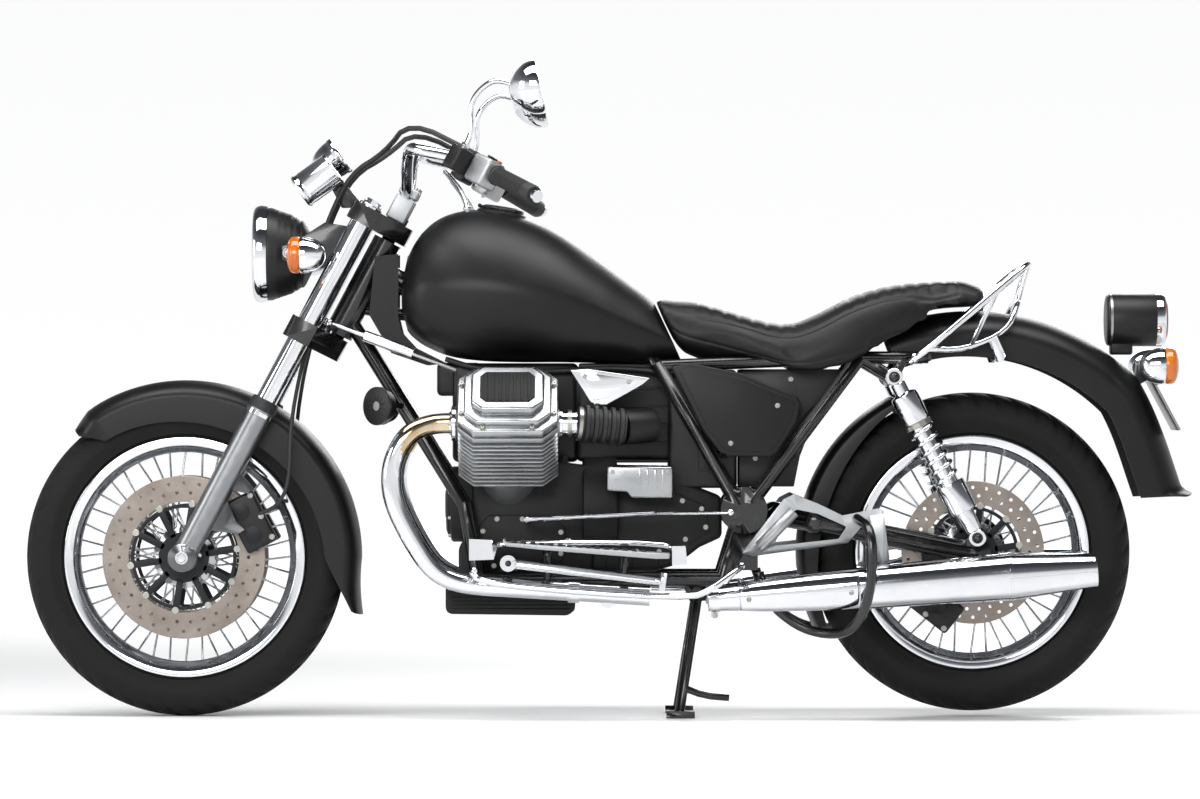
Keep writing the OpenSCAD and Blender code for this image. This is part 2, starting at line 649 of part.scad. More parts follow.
shock_len = norm(shock_top - shock_low);
coil_turns = 6;
module rear_shocks() {
    lean = atan2(shock_low.y - shock_top.y, shock_top.z - shock_low.z);
    color("#c4c4c6") both() translate(shock_top) rotate([180 + lean, 0, 0]) difference() {
        union() {
            rotate([0, 90, 0]) cylinder(h = 24, d = 34, center = true);
            translate([0, 0, shock_len]) rotate([0, 90, 0]) cylinder(h = 24, d = 34, center = true);
            cylinder(h = shock_len, d = 16);
            translate([0, 0, 14]) cylinder(h = 24, d = 30);
            translate([0, 0, 38]) cylinder(h = 62, d = 56);
            translate([0, 0, 100]) cylinder(h = 140, d = 39);
            for (i = [0:coil_turns - 1]) translate([0, 0, 108 + i * 22]) rotate_extrude() translate([23, 0]) circle(d = 9);
            translate([0, 0, 232]) cylinder(h = 66, d = 60);
            translate([0, 0, 298]) cylinder(h = 44, d1 = 40, d2 = 32);
        }
        rotate([0, 90, 0]) cylinder(h = 40, d = 14 + 2 * seat_gap, center = true);
        translate([0, 0, shock_len]) rotate([0, 90, 0]) cylinder(h = 40, d = 14 + 2 * seat_gap, center = true);
    }
}

// A caliper straddles its disc: two cheeks joined outside the disc's edge
module caliper(r, x, gap) {
    difference() {
        translate([x, r - 12, 0]) cube([caliper_w, 66, 112], center = true);
        translate([x, 0, 0]) rotate([0, 90, 0]) cylinder(h = gap, r = r + 5, center = true);
    }
}

module front_calipers() {
    color("#202022") both() translate([0, front_y, 0]) rotate([28, 0, 0])
        difference() {
            caliper(front_disc_r, front_disc_x + 2, disc_t + 10);
            rotate([-28 - rake, 0, 0]) translate([leg_x, 0, 0]) cylinder(h = 500, d = fork_leg_d + 2);
        }
}

module rear_caliper() {
    color("#202022") translate([0, rear_y, rear_axle_z]) rotate([-128, 0, 0])
        caliper(rear_disc_r, rear_disc_x, disc_t + 10);
}

// ---------- engine ----------

engine_half = 88;
// Cylinder frame: +Z out along the left cylinder's axis from the crankshaft
module cylinder_frame() {
    translate([0, cylinder_y, crank_z]) rotate([0, 45, 0]) children();
}

module octagon(half_u, half_y, cut) {
    polygon([
        [half_u - cut, half_y], [cut - half_u, half_y], [-half_u, half_y - cut], [-half_u, cut - half_y],
        [cut - half_u, -half_y], [half_u - cut, -half_y], [half_u, cut - half_y], [half_u, half_y - cut]
    ]);
}

fin_low = 138;
fin_high = 258;
head_half_y = 98;
module cylinders() {
    color("#9b9c9e") both() cylinder_frame() {
        translate([0, 0, fin_low - 2]) cylinder(h = fin_high - fin_low + 4, d = 126);
        for (i = [0:fins - 1]) translate([0, 0, fin_low + i * (fin_high - fin_low) / fins])
            linear_extrude(4) octagon(fin_half, head_half_y, 30);
        translate([0, 0, fin_high]) linear_extrude(14) octagon(fin_half, head_half_y, 30);
        // exhaust and inlet ports
        translate([0, 0, 228]) rotate([90, 0, 0]) cylinder(h = 2 * head_half_y + 6, d = 58, center = true);
    }
}

module rocker_covers() {
    color("#b8b9bb") both() cylinder_frame() translate([0, 0, fin_high + 14 + seat_gap]) {
        linear_extrude(22) octagon(fin_half + 2, head_half_y, 30);
        translate([0, 0, 22]) linear_extrude(14) octagon(fin_half - 10, head_half_y - 12, 26);
        translate([0, 0, 36]) linear_extrude(20) octagon(fin_half - 26, head_half_y - 26, 22);
    }
}

module engine_block() {
    color("#262628") {
        // crankcase with its sump
        profile(0, 2 * engine_half) polygon([
            [-236, 20], [-210, 60], [-210, 156], [-196, 184], [-40, 188], [30, 180], [30, -20], [-4, -44], [-236, -44]
        ]);
        profile(0, 172) polygon([
            [-262, -40], [-262, -104], [-254, -112], [-20, -115], [-6, -104], [-6, -40]
        ]);
        // bell housing and gearbox
        profile(0, 2 * engine_half) polygon([[26, 170], [26, -28], [150, -28], [196, -14], [240, 20], [284, 40], [284, 120], [180, 160]]);
        translate([0, 8, crank_z - 4]) rotate([-90, 0, 0]) cylinder(h = 70, d = 230);
        // timing case at the front
        translate([0, -262, crank_z]) rotate([-90, 0, 0]) cylinder(h = 60, d = 150);
        // cylinder bases
        both() cylinder_frame() translate([0, 0, 60]) cylinder(h = fin_low - 62 - seat_gap, d = 122);
    }
}

module intakes() {
    color("#3a3a3c") both() {
        port = [cos(45) * 228, cylinder_y + head_half_y + 3 + seat_gap, crank_z + cos(45) * 228];
        bar(port, port + [0, 34, 0], 52);
        bar(port + [0, 33, 0], port + [-14, 128, -8], 64);
        for (i = [0:3]) bar(port + [-3 - i * 3, 48 + i * 22, -1 - i * 2], port + [-4 - i * 3, 56 + i * 22, -2 - i * 2], 76);
        bar(port + [-14, 126, -8], port + [-46, 190, -4], 68);
    }
}

module air_covers() {
    color("#d8d8da") both() {
        profile(146, 8) polygon([[-16, 370], [20, 372], [142, 354], [128, 342], [56, 300.4], [28, 300.4]]);
        bar([engine_half + seat_gap, 150, 150], [122, 150, 150], 14);
        profile(134, 34) polygon([[57, 182], [186, 180], [186, 118], [104, 118], [96, 130], [57, 132]]);
    }
}

module horns() {
    color("#2b2b2d") both() {
        translate([96, -380, 299]) rotate([90, 0, 46]) {
            cylinder(h = 26, d1 = 64, d2 = 76);
            translate([0, 0, -14]) cylinder(h = 16, d = 40);
        }
        difference() {
            bar([88, -372, 299], [58, -346, 299], 14);
            bar(head_point(head_low + 40), [rail_x - 4, -223, 104], tube_d + 2 * seat_gap);
        }
    }
}

// ---------- exhaust ----------

silencer_slope = 4.4;
silencer_x = 188;
silencer_front = [silencer_x, 256, -80];
pipe_back = [172, 120, -72];
module silencers() {
    taper = silencer_d / 94;
    color("#d8d8da") both() translate(silencer_front) rotate([silencer_slope - 90, 0, 0]) difference() {
        rotate_extrude() polygon([
            [0, 0], [pipe_d / 2 + 3, 0], [24, 20], [37 * taper, 200], [42 * taper, 330],
            [47 * taper, 590], [47 * taper, 596], [33 * taper, 762], [0, 762]
        ]);
        translate([0, 0, 700]) cylinder(h = 70, r = 26);
        rotate([90 - silencer_slope, 0, 0]) translate(-silencer_front)
            bar(pipe_back, silencer_front + unit(silencer_front - pipe_back) * 30, pipe_d + 2 * seat_gap);
    }
}

port_w = 228;
module exhaust_pipes() {
    port = [cos(45) * port_w, cylinder_y - head_half_y - 3 - seat_gap, crank_z + cos(45) * port_w];
    path = concat(rounded([
        port, port + [0, -48, 0], [178, -334, 246], [180, -366, 190], [182, -366, 120], [180, -330, 44],
        [172, -288, -22], [166, -238, -48], [164, -180, -54]
    ], 2), [[164, -40, -62], pipe_back, silencer_front + unit(silencer_front - pipe_back) * 16]);
    color("#d8d8da") {
        both() {
            sweep(path, pipe_d, 16);
            translate(port) rotate([90, 0, 0]) cylinder(h = 10, d = 70, $fn = 48);
        }
        // balance pipe between the two sides
        bar([-168, 60, -80], [168, 60, -80], 36);
    }
}

// ---------- tank, seat and panels ----------

tank_table = [
    // y, half width share, top, bottom
    [-350, 0.40, 560, 476], [-342, 0.56, 590, 452], [-324, 0.72, 628, 432], [-300, 0.83, 655, 416], [-255, 0.93, 680, 398],
    [-195, 0.99, 689, 389], [-116, 1.00, 675, 386], [-36, 0.95, 640, 386], [43, 0.84, 586, 384], [100, 0.72, 544, 380],
    [142, 0.63, 512, 378], [178, 0.55, 478, 382], [214, 0.48, 440, 388]
];
gap_low = [198, 404];
gap_high = [146, 516];
seam_angle = atan2(gap_high.y - gap_low.y, gap_high.x - gap_low.x);
seam_gap = 6;
lid_y = -152;
lid_slope = 9;
lid_d = 88;
lid_z = 686;

// A block that lies behind the slanted seam between tank and seat
module behind_seam(step) {
    translate([0, gap_low.x, gap_low.y]) rotate([seam_angle, 0, 0]) translate([-300, -400, -step - 600])
        cube([600, 1200, 600]);
}

module fuel_tank() {
    stations = [for (i = [0:22]) -350 + 564 * i / 22];
    color("#2a2a2c") difference() {
        union() {
            difference() {
                loft([for (y = stations) body_ring(y, tank_half * between(tank_table, y, 1),
                    between(tank_table, y, 2), between(tank_table, y, 3), 2.5, 0.3)]);
                behind_seam(0);
            }
            translate([0, lid_y, lid_z]) rotate([-lid_slope, 0, 0]) translate([0, 0, -46]) cylinder(h = 46, d = lid_d + 10);
        }
        // tunnel over the frame's spine and head
        spine(46 + 2 * seat_gap);
        fork_frame() translate([0, fork_offset, head_low]) cylinder(h = head_high - head_low, d = head_tube_d + 12);
        // room for the upper clamp at full lock
        fork_frame() translate([0, fork_offset, upper_clamp_s - upper_clamp_t / 2 - 5])
            cylinder(h = 120, r = norm([upper_clamp_back + 18, upper_clamp_back - 8]) + 5);
        translate([-27, -350, 340]) cube([54, 600, 108]);
        both() bar([18, 140, spine_z - 42], [rail_x + 8, 158, 376], tube_d + 4);
        // filler neck
        translate([0, lid_y, lid_z - 30]) rotate([-lid_slope, 0, 0]) cylinder(h = 60, d = 48);
    }
}

module filler_lid() {
    color("#2a2a2c") translate([0, lid_y, lid_z]) rotate([-lid_slope, 0, 0]) {
        translate([0, 0, seat_gap]) cylinder(h = 6, d = lid_d);
        translate([0, 0, seat_gap + 5]) cylinder(h = 4, d1 = lid_d - 4, d2 = lid_d - 20);
        across(0, -lid_d / 2 - 1, seat_gap + 4.5, 26, 8);
    }
}

seat_table = [
    // y, half width share, top, bottom
    [130, 0.58, 512, 470], [165, 0.64, 522, 440], [200, 0.70, 516, 404], [281, 0.83, 494, 380], [361, 0.93, 470, 360],
    [420, 0.98, 463, 344], [470, 1.00, 480, 340], [539, 0.98, 515, 352], [599, 0.90, 534, 382], [639, 0.85, 541, 396],
    [698, 0.77, 546, 406], [758, 0.70, 548, 440], [800, 0.60, 544, 478], [820, 0.48, 530, 500]
];
module seat() {
    stations = [for (i = [0:26]) 130 + 690 * i / 26];
    color("#242426") difference() {
        loft([for (y = stations) body_ring(y, seat_half * between(seat_table, y, 1),
            between(seat_table, y, 2), between(seat_table, y, 3), 3.2, 0.12)]);
        difference() {
            translate([-300, -300, 200]) cube([600, 700, 600]);
            behind_seam(seam_gap);
        }
        // hollow over the seat rails and the mudguard
        translate([-rail_x - 22, 100, 300]) cube([2 * rail_x + 44, 620, seat_rail_z + (tube_d - 6) / 2 + seat_gap - 300]);
        across(0, rear_y, rear_axle_z, 2 * rear_guard_half + 16, 2 * rear_crown_r + 14);
    }
}

module side_panels() {
    color("#2a2a2c") both() bar([rail_x + 11 + seat_gap, 284, 214], [rail_x + 26, 284, 214], 8);
    color("#2a2a2c") both() profile(rail_x + 33, 20) polygon([
        [182, 376], [222, 384], [321, 364], [430, 320], [438, 304], [430, 270], [392, 208], [376, 200],
        [296, 200], [278, 208], [246, 250]
    ]);
}

module grab_rail() {
    color("#d8d8da") {
        half1 = [[134, 652, 384], [134, 700, 420], [114, 872, 566], [70, 892, 582], [0, 894, 584]];
        half2 = [[134, 688, 411], [130, 760, 410], [114, 846, 446], [84, 868, 500], [40, 872, 506], [0, 872, 506]];
        path1 = rounded(concat(half1, [for (i = [3:-1:0]) [-half1[i].x, half1[i].y, half1[i].z]]), 2);
        path2 = rounded(concat(half2, [for (i = [4:-1:0]) [-half2[i].x, half2[i].y, half2[i].z]]), 2);
        sweep(path1, 14, 10);
        sweep(path2, 12, 10);
        both() {
            bar([40, 872, 506], [40, 893, 582], 9);
            bar([119, 826, 526], [128, 770, 412], 9);
            profile(120, 6) polygon([[806, 434], [826, 438], [842, 398], [836, 386], [824, 386]]);
            bar([rear_guard_half + seat_gap, 832, 396], [122, 832, 396], 12);
            bar([rail_x + 4 + (tube_d - 6) / 2 + seat_gap, 662, 396], [134, 662, 396], 12);
        }
    }
}

module tail_lamp() {
    color("#242426") {
        translate([0, 1048, 470]) rotate([-90, 0, 0]) rotate_extrude() polygon([
            [0, 0], [44, 0], [50, 3], [52, 8], [52, 116], [48, 121], [0, 124]
        ]);
        difference() {
            profile(0, 44) polygon([[1056, 428], [1102, 428], [1102, 360], [1056, 370]]);
            across(0, rear_y, rear_axle_z, 100, 2 * (rear_crown_r + seat_gap));
        }
    }
}

module rear_indicators() {
    color("#d0a060") both() {
        translate([124, 1148, 378]) rotate([-90, 0, 0]) bullet_lamp();
    }
}

module plate_bracket() {
    color("#8a8b8d") {
        profile(0, 164) polygon([[1128, 362], [1132, 363], [1192, 250], [1188, 248]]);
        difference() {
            profile(0, 60) polygon([[1103, 340], [1108, 384], [1130, 384], [1136, 354], [1112, 340]]);
            across(0, rear_y, rear_axle_z, 100, 2 * (rear_crown_r + seat_gap));
        }
        // arms out to the indicators
        difference() {
            bar([-110, 1122, 378], [110, 1122, 378], 14);
            both() translate([124, 1148, 378]) rotate([-90, 0, 0]) translate([0, 0, -40])
                cylinder(h = 22, r1 = 20, r2 = 33.6);
        }
    }
}

// ---------- footboards, pedals and rails ----------

board_x = 236;
module footboards() {
    color("#c4c4c6") both() {
        profile(board_x, 96) polygon([
            [-146, 36], [-140, 26], [150, 2], [178, 2], [180, 12], [150, 16], [-138, 34], [-144, 42]
        ]);
        difference() {
            union() {
                bar([rail_x + 4, -60, rail_z], [board_x - 30, -60, 18], 18);
                bar([rail_x + 4, 90, rail_z], [board_x - 30, 90, 8], 18);
            }
            cradle_rail(tube_d + 2 * seat_gap);
        }
    }
}

module foot_pedals() {
    color("#d0d0d2") {
        // gear rocker on the left
        sweep(rounded([[176, -186, 22], [176, -140, 30], [176, -20, 32], [176, 160, 30], [176, 196, 16]], 1), 11, 8);
        profile(204, 68) polygon([[-212, 40], [-168, 38], [-158, 22], [-164, 0], [-212, -2]]);
        profile(202, 64) polygon([[184, 26], [210, 26], [214, -10], [184, -12]]);
        bar([88.3, -20, 32], [176, -20, 32], 16);
        // gear linkage
        bar([150, -106, 76], [150, 150, 88], 9);
        bar([150, 140, 88], [150, 300, 90], 7);
        bar([rail_x + 22, 300, 90], [155, 300, 90], 12);
        bar([88.3, -100, 76], [154, -100, 76], 12);
        // brake pedal on the right
        sweep(rounded([[-176, -190, 46], [-176, -120, 34], [-176, 40, 30], [-176, 104, 30]], 1), 12, 8);
        profile(-202, 62) polygon([[-226, 42], [-224, 54], [-176, 56], [-176, 42]]);
        bar([-88.3, 98, 30], [-176, 98, 30], 16);
    }
}

module lower_rails() {
    color("#d8d8da") both() {
        sweep(rounded([[252, -206, -22], [252, -190, -48], [252, 212, -77], [252, 264, -57], [236, 320, -13]], 2), 13, 8);
        bar([rail_x + tube_d / 2 + seat_gap, -202, -22], [254, -202, -22], 12);
        bar([rail_x + 19 + seat_gap, 320, -13], [238, 320, -13], 12);
    }
}

module passenger_pegs() {
    color("#9b9c9e") both() {
        difference() {
            profile(142, 8) offset(3) offset(-3) polygon([
                [322, 10], [344, 4], [530, 30], [560, 66], [604, 92], [590, 98], [520, 84], [470, 108], [424, 126], [404, 116]
            ]);
            profile(142, 12) offset(4) offset(-4) polygon([[384, 24], [512, 38], [528, 62], [470, 88], [430, 96], [412, 82]]);
        }
        // folded peg
        bar([158, 356, 22], [158, 424, 92], 24);
        across(150, 352, 18, 18, 20);
        // hanger down to the silencer
        profile(152, 12) polygon([[572, 84], [600, 88], [612, -4], [584, -8]]);
        bar([152, 598, 4], [152, 598, -14], 12);
        bar([rail_x + 19 + seat_gap, 344, 24], [142, 344, 24], 14);
    }
}

module rear_guards() {
    color("#1e1e20") both() sweep(rounded([
        [146 + seat_gap, 548, 78], [172, 548, 78], [250, 572, 60], [256, 574, -30], [250, 560, -100], [214, 532, -142],
        [160, 486, -150], [132, 430, -134], [130, 372, -84], [130, 356, -28]
    ], 2), 20, 10);
}

// ---------- steering damper ----------

damper_eye = [
    damper_eye_x,
    front_y + damper_eye_y * cos(rake) + damper_eye_s * sin(rake),
    damper_eye_s * cos(rake) - damper_eye_y * sin(rake)
];
damper_end = damper_eye + [40, 226, -84];
damper_axis = unit(damper_end - damper_eye);
module damper_tube() {
    color("#d0d0d2") {
        difference() {
            bar(damper_eye + damper_axis * 78, damper_eye + damper_axis * 182, 22);
            bar(damper_eye, damper_end + damper_axis * 40, 9);
        }
        bracket = damper_eye + damper_axis * 174;
        difference() {
            bar(bracket, [56, bracket.y + 6, bracket.z + 2], 14);
            bar(damper_eye, damper_end, 18);
        }
    }
}

module damper_rod() {
    color("#d8d8da") {
        bar(damper_eye + damper_axis * 6, damper_end + damper_axis * 30, 8);
        translate(damper_eye) rotate([-rake, 0, 0]) cylinder(h = 12, d = 20, center = true);
    }
}

// ---------- stands ----------

module centre_stand() {
    hinge_x = ear_x + ear_t / 2 + 8;
    foot_z = -axle_z;
    color("#1e1e20") {
        both() {
            difference() {
                union() {
                    across(hinge_x, stand_pivot.y, stand_pivot.z, 14, 30);
                    bar([hinge_x + 7, stand_pivot.y, stand_pivot.z], [stand_spread / 2, stand_pivot.y - stand_over, foot_z + 12], 20);
                }
                across(hinge_x, stand_pivot.y, stand_pivot.z, 60, stand_pin_d + 2 * seat_gap);
            }
            translate([stand_spread / 2 - 16, stand_pivot.y - stand_over - 26, foot_z]) cube([32, 56, 14]);
        }
        bar([-hinge_x - 12, stand_pivot.y - 16, stand_pivot.z - 110], [hinge_x + 12, stand_pivot.y - 16, stand_pivot.z - 110], 18);
        // foot lever on the left
        sweep(rounded([
            [stand_spread / 2 - 2, stand_pivot.y - 30, foot_z + 60], [stand_spread / 2 - 2, stand_pivot.y + 14, foot_z + 44],
            [stand_spread / 2 - 2, stand_pivot.y + 62, foot_z + 40]
        ], 1), 14, 8);
    }
}

side_pivot = [220, -136, -8];
side_tip = [220, 166, -44];
module side_stand() {
    color("#d0d0d2") {
        difference() {
            union() {
                bar(side_pivot, side_tip, 18, 15);
                across(side_pivot.x, side_pivot.y, side_pivot.z, 18, 32);
            }
            across(side_pivot.x, side_pivot.y, side_pivot.z, 30, stand_pin_d + 0.2);
        }
        translate(side_tip) rotate([-8, 0, 0]) cube([30, 12, 34], center = true);
    }
}

// ---------- cables ----------

loom_start = grip_start - grip_axis * (40 + seat_gap) + [0, 0, 18.6];
module cables() {
    color("#1b1b1c") fork_frame() {
        // looms from the controls over the top to the steering head
        both() sweep(rounded([
            loom_start, loom_start - grip_axis * 40, bar_turn + [30, -20, 48], [70, -24, upper_clamp_s + 128],
            [50, -66, upper_clamp_s + 60], [46, -62, upper_clamp_s - 40], [50, -50, upper_clamp_s - 96]
        ], 2), 11, 8);
        // brake hoses from the lower clamp to the calipers
        both() sweep(rounded([
            [72, 20, lower_clamp_s - lower_clamp_t / 2 - 1], [82, 34, lower_clamp_s - 80], [112, 66, 330], [118, 118, 230],
            [112, 118, 176], [96, 92, 148]
        ], 2), 8, 8);
    }
}

// ---------- placing ----------

module place() {
    translate([0, -mid_y, axle_z]) children();
}

place() frame();
place() neck_covers();
place() swingarm();
place() engine_block();
place() cylinders();
place() rocker_covers();
place() intakes();
place() air_covers();
place() exhaust_pipes();
place() silencers();
place() fuel_tank();
place() seat();
place() side_panels();
place() rear_mudguard();
place() grab_rail();
place() tail_lamp();
place() rear_indicators();
place() plate_bracket();
place() rear_shocks();
place() footboards();
place() passenger_pegs();
place() foot_pedals();
place() lower_rails();
place() rear_guards();
place() horns();
place() rear_caliper();
place() damper_tube();
place() fork_tubes();
place() fork_legs();
place() fork_clamps();
place() handlebar();
place() grips();
place() hand_controls();
place() mirrors();
place() headlamp();
place() gauges();
place() front_mudguard();
place() front_indicators();
place() front_calipers();
place() cables();
place() front_tyre();
place() front_rim();
place() front_hub();
place() front_discs();
place() rear_tyre();
place() rear_rim();
place() rear_hub();
place() rear_disc();
place() filler_lid();
place() damper_rod();
place() side_stand();
place() centre_stand();
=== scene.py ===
# Cruiser motorcycle, set up on its centre stand. The front faces -Y, the rider's left is +X and
# +Z is up, in metres.
import math

import bpy
from mathutils import Matrix, Vector


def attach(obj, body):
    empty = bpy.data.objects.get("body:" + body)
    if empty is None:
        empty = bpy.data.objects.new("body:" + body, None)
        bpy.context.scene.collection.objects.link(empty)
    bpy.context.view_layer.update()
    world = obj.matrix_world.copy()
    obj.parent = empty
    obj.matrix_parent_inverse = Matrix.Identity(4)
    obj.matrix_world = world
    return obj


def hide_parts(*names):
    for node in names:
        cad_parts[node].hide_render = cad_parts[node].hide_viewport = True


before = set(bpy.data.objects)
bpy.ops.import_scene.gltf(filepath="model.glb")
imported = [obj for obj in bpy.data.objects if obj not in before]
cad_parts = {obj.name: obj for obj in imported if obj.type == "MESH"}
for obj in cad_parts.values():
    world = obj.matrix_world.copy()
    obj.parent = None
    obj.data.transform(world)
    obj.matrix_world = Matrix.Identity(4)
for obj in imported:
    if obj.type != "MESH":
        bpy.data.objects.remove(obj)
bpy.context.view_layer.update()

# ---------- Studio: camera, floor and lights ----------
# A white sweep of painted floor, one long soft box overhead and two at the sides. The sky goes from
# white at the horizon to grey overhead, so that bright plating shows both light and dark in it.


def linear(code):
    """An sRGB hex colour as linear red, green, blue and alpha."""
    parts = [int(code[i:i + 2], 16) / 255 for i in (1, 3, 5)]
    return [p / 12.92 if p <= 0.04045 else ((p + 0.055) / 1.055) ** 2.4 for p in parts] + [1.0]


def add_node(tree, kind, values=None, links=None, **settings):
    """Adds a node with its settings, its sockets' values and its links."""
    node = tree.nodes.new(kind)
    for name, value in settings.items():
        setattr(node, name, value)
    for name, value in (values or {}).items():
        node.inputs[name].default_value = value
    for name, socket in (links or {}).items():
        tree.links.new(socket, node.inputs[name])
    return node


bpy.ops.object.select_all(action="DESELECT")
bpy.ops.object.camera_add(location=(12.0, -0.018, 0.628), rotation=(math.radians(90), 0,
                                                                    math.radians(90)))
camera = bpy.context.object
camera.data.lens = 181
camera.data.clip_end = 60
bpy.context.scene.camera = camera

bpy.ops.mesh.primitive_circle_add(vertices=96, radius=26, fill_type="NGON")
floor = bpy.context.object
floor.name = "studio_floor"
paint = bpy.data.materials.new("studio_floor_paint")
paint.use_nodes = True
tree = paint.node_tree
shader = tree.nodes["Principled BSDF"]
coords = add_node(tree, "ShaderNodeTexCoord")
mottle = add_node(tree, "ShaderNodeTexNoise", {"Scale": 3.0, "Detail": 2.0},
                  {"Vector": coords.outputs["Object"]})
spread = add_node(tree, "ShaderNodeMapRange", {"To Min": 0.5, "To Max": 0.56},
                  {"Value": mottle.outputs["Fac"]})
tree.links.new(spread.outputs["Result"], shader.inputs["Roughness"])
shader.inputs["Base Color"].default_value = linear("#f4f4f4")
shader.inputs["Specular IOR Level"].default_value = 0.25
# painted light: the sweep's far part glows, more the further it is from the middle, so that it meets
# the backdrop in the same white
reach = add_node(tree, "ShaderNodeVectorMath", None, {0: coords.outputs["Object"]}, operation="LENGTH")
painted_floor_glow = add_node(tree, "ShaderNodeMapRange", {"From Min": 1.9, "From Max": 7.0, "To Min": 0.0,
                                             "To Max": 0.9}, {"Value": reach.outputs["Value"]},
                interpolation_type="SMOOTHSTEP")
shader.inputs["Emission Color"].default_value = linear("#ffffff")
tree.links.new(painted_floor_glow.outputs["Result"], shader.inputs["Emission Strength"])
floor.data.materials.append(paint)

world = bpy.context.scene.world or bpy.data.worlds.new("studio")
bpy.context.scene.world = world
world.use_nodes = True
tree = world.node_tree
sky = tree.nodes.get("Background") or add_node(tree, "ShaderNodeBackground")
coords = add_node(tree, "ShaderNodeTexCoord")
height = add_node(tree, "ShaderNodeSeparateXYZ", None, {"Vector": coords.outputs["Generated"]})
ramp = add_node(tree, "ShaderNodeValToRGB", None, {"Fac": height.outputs["Z"]})
for stop, (at, shade) in enumerate([(0.0, "#ffffff"), (0.16, "#f6f7f8"), (0.34, "#77797c"),
                                    (0.75, "#3c3e42")]):
    spot = ramp.color_ramp.elements[stop] if stop < 2 else ramp.color_ramp.elements.new(at)
    spot.position = at
    spot.color = linear(shade)
tree.links.new(ramp.outputs["Color"], sky.inputs["Color"])
sky.inputs["Strength"].default_value = 1.0

for name, where, size, power in [
    ("overhead", (0.6, 0.0, 3.4), (4.6, 1.5), 150), ("near_side", (4.6, -1.4, 2.3), (3.2, 1.4), 120),
    ("far_side", (-4.4, 1.0, 2.4), (3.0, 1.6), 90), ("front", (1.6, -4.8, 1.7), (1.6, 2.0), 55),
]:
    bpy.ops.object.light_add(type="AREA", location=where)
    lamp = bpy.context.object
    lamp.name = "light_" + name
    lamp.data.shape = "RECTANGLE"
    lamp.data.size, lamp.data.size_y = size
    lamp.data.energy = power
    lamp.rotation_euler = (Vector((0, 0, 0.55)) - Vector(where)).to_track_quat("-Z", "Y").to_euler()
bpy.context.scene.view_settings.view_transform = "Standard"


# ---------- Fuel tank ----------
# Two pressed steel halves, seam-welded round a tunnel for the backbone, in satin black. The filler's
# collar is welded in on top.


def finish(name, colour, second, metallic, rough, grain, depth, **shader_values):
    """A surface with two close shades and an uneven gloss. grain and depth are millimetres."""
    made = bpy.data.materials.new(name)
    made.use_nodes = True
    tree = made.node_tree
    shader = tree.nodes["Principled BSDF"]
    coords = add_node(tree, "ShaderNodeTexCoord")
    patches = add_node(tree, "ShaderNodeTexNoise", {"Scale": 14.0, "Detail": 5.0, "Roughness": 0.6},
                       {"Vector": coords.outputs["Object"]})
    fine = add_node(tree, "ShaderNodeTexNoise", {"Scale": 1000 / grain, "Detail": 3.0},
                    {"Vector": coords.outputs["Object"]})
    shades = add_node(tree, "ShaderNodeValToRGB", None, {"Fac": patches.outputs["Fac"]})
    shades.color_ramp.elements[0].position, shades.color_ramp.elements[1].position = 0.36, 0.68
    shades.color_ramp.elements[0].color = linear(colour)
    shades.color_ramp.elements[1].color = linear(second)
    gloss = add_node(tree, "ShaderNodeMapRange", {"From Min": 0.3, "From Max": 0.7},
                     {"Value": patches.outputs["Fac"]})
    gloss.inputs["To Min"].default_value, gloss.inputs["To Max"].default_value = rough
    relief = add_node(tree, "ShaderNodeBump", {"Strength": 0.6, "Distance": depth / 1000},
                      {"Height": fine.outputs["Fac"]})
    tree.links.new(shades.outputs["Color"], shader.inputs["Base Color"])
    tree.links.new(gloss.outputs["Result"], shader.inputs["Roughness"])
    tree.links.new(relief.outputs["Normal"], shader.inputs["Normal"])
    shader.inputs["Metallic"].default_value = metallic
    for socket, value in shader_values.items():
        shader.inputs[socket.replace("_", " ")].default_value = value
    return made


# satin polyurethane paint: deep black that spreads its light widely, with a fine orange peel
satin_black = finish("satin_black_paint", "#0a0a0b", "#0f0f10", 0.0, (0.38, 0.46), 1.1, 0.012,
                     Coat_Weight=0.05, Specular_IOR_Level=0.28, Coat_Roughness=0.35)

# the maker measures in millimetres from the wheelbase's middle, with heights from the front axle
half_wheelbase = 780
front_axle, rear_axle = (0, -half_wheelbase, 0), (0, half_wheelbase, 10)
middle_y, axle_height = 0.061265, 0.316
rake = math.radians(28)


def place(point):
    """The maker's millimetres as metres in the frame."""
    return Vector((point[0] / 1000, point[1] / 1000 - middle_y, point[2] / 1000 + axle_height))


def measured(spot):
    """Metres in the frame as the maker's millimetres."""
    return spot.x * 1000, (spot.y + middle_y) * 1000, (spot.z - axle_height) * 1000


def select(pieces):
    """Selects these pieces alone, with the first one active."""
    bpy.ops.object.select_all(action="DESELECT")
    for piece in pieces:
        piece.select_set(True)
    bpy.context.view_layer.objects.active = pieces[0]


def tidied(piece, angle=32):
    """Merges meeting corners, turns the faces outwards and shades smooth up to an edge angle."""
    select([piece])
    bpy.ops.object.mode_set(mode="EDIT")
    bpy.ops.mesh.select_all(action="SELECT")
    bpy.ops.mesh.remove_doubles(threshold=0.00002)
    bpy.ops.mesh.normals_make_consistent(inside=False)
    bpy.ops.object.mode_set(mode="OBJECT")
    bpy.ops.object.shade_smooth_by_angle(angle=math.radians(angle))
    return piece


def skin(name, across, along, where, angle=32):
    """A grid whose corners are drawn out to where(u, v), u and v from 0 to 1."""
    bpy.ops.object.select_all(action="DESELECT")
    bpy.ops.mesh.primitive_grid_add(x_subdivisions=across, y_subdivisions=along, size=2)
    piece = bpy.context.object
    piece.name = name
    for corner in piece.data.vertices:
        corner.co = place(where((corner.co.x + 1) / 2, (corner.co.y + 1) / 2))
    return tidied(piece, angle)


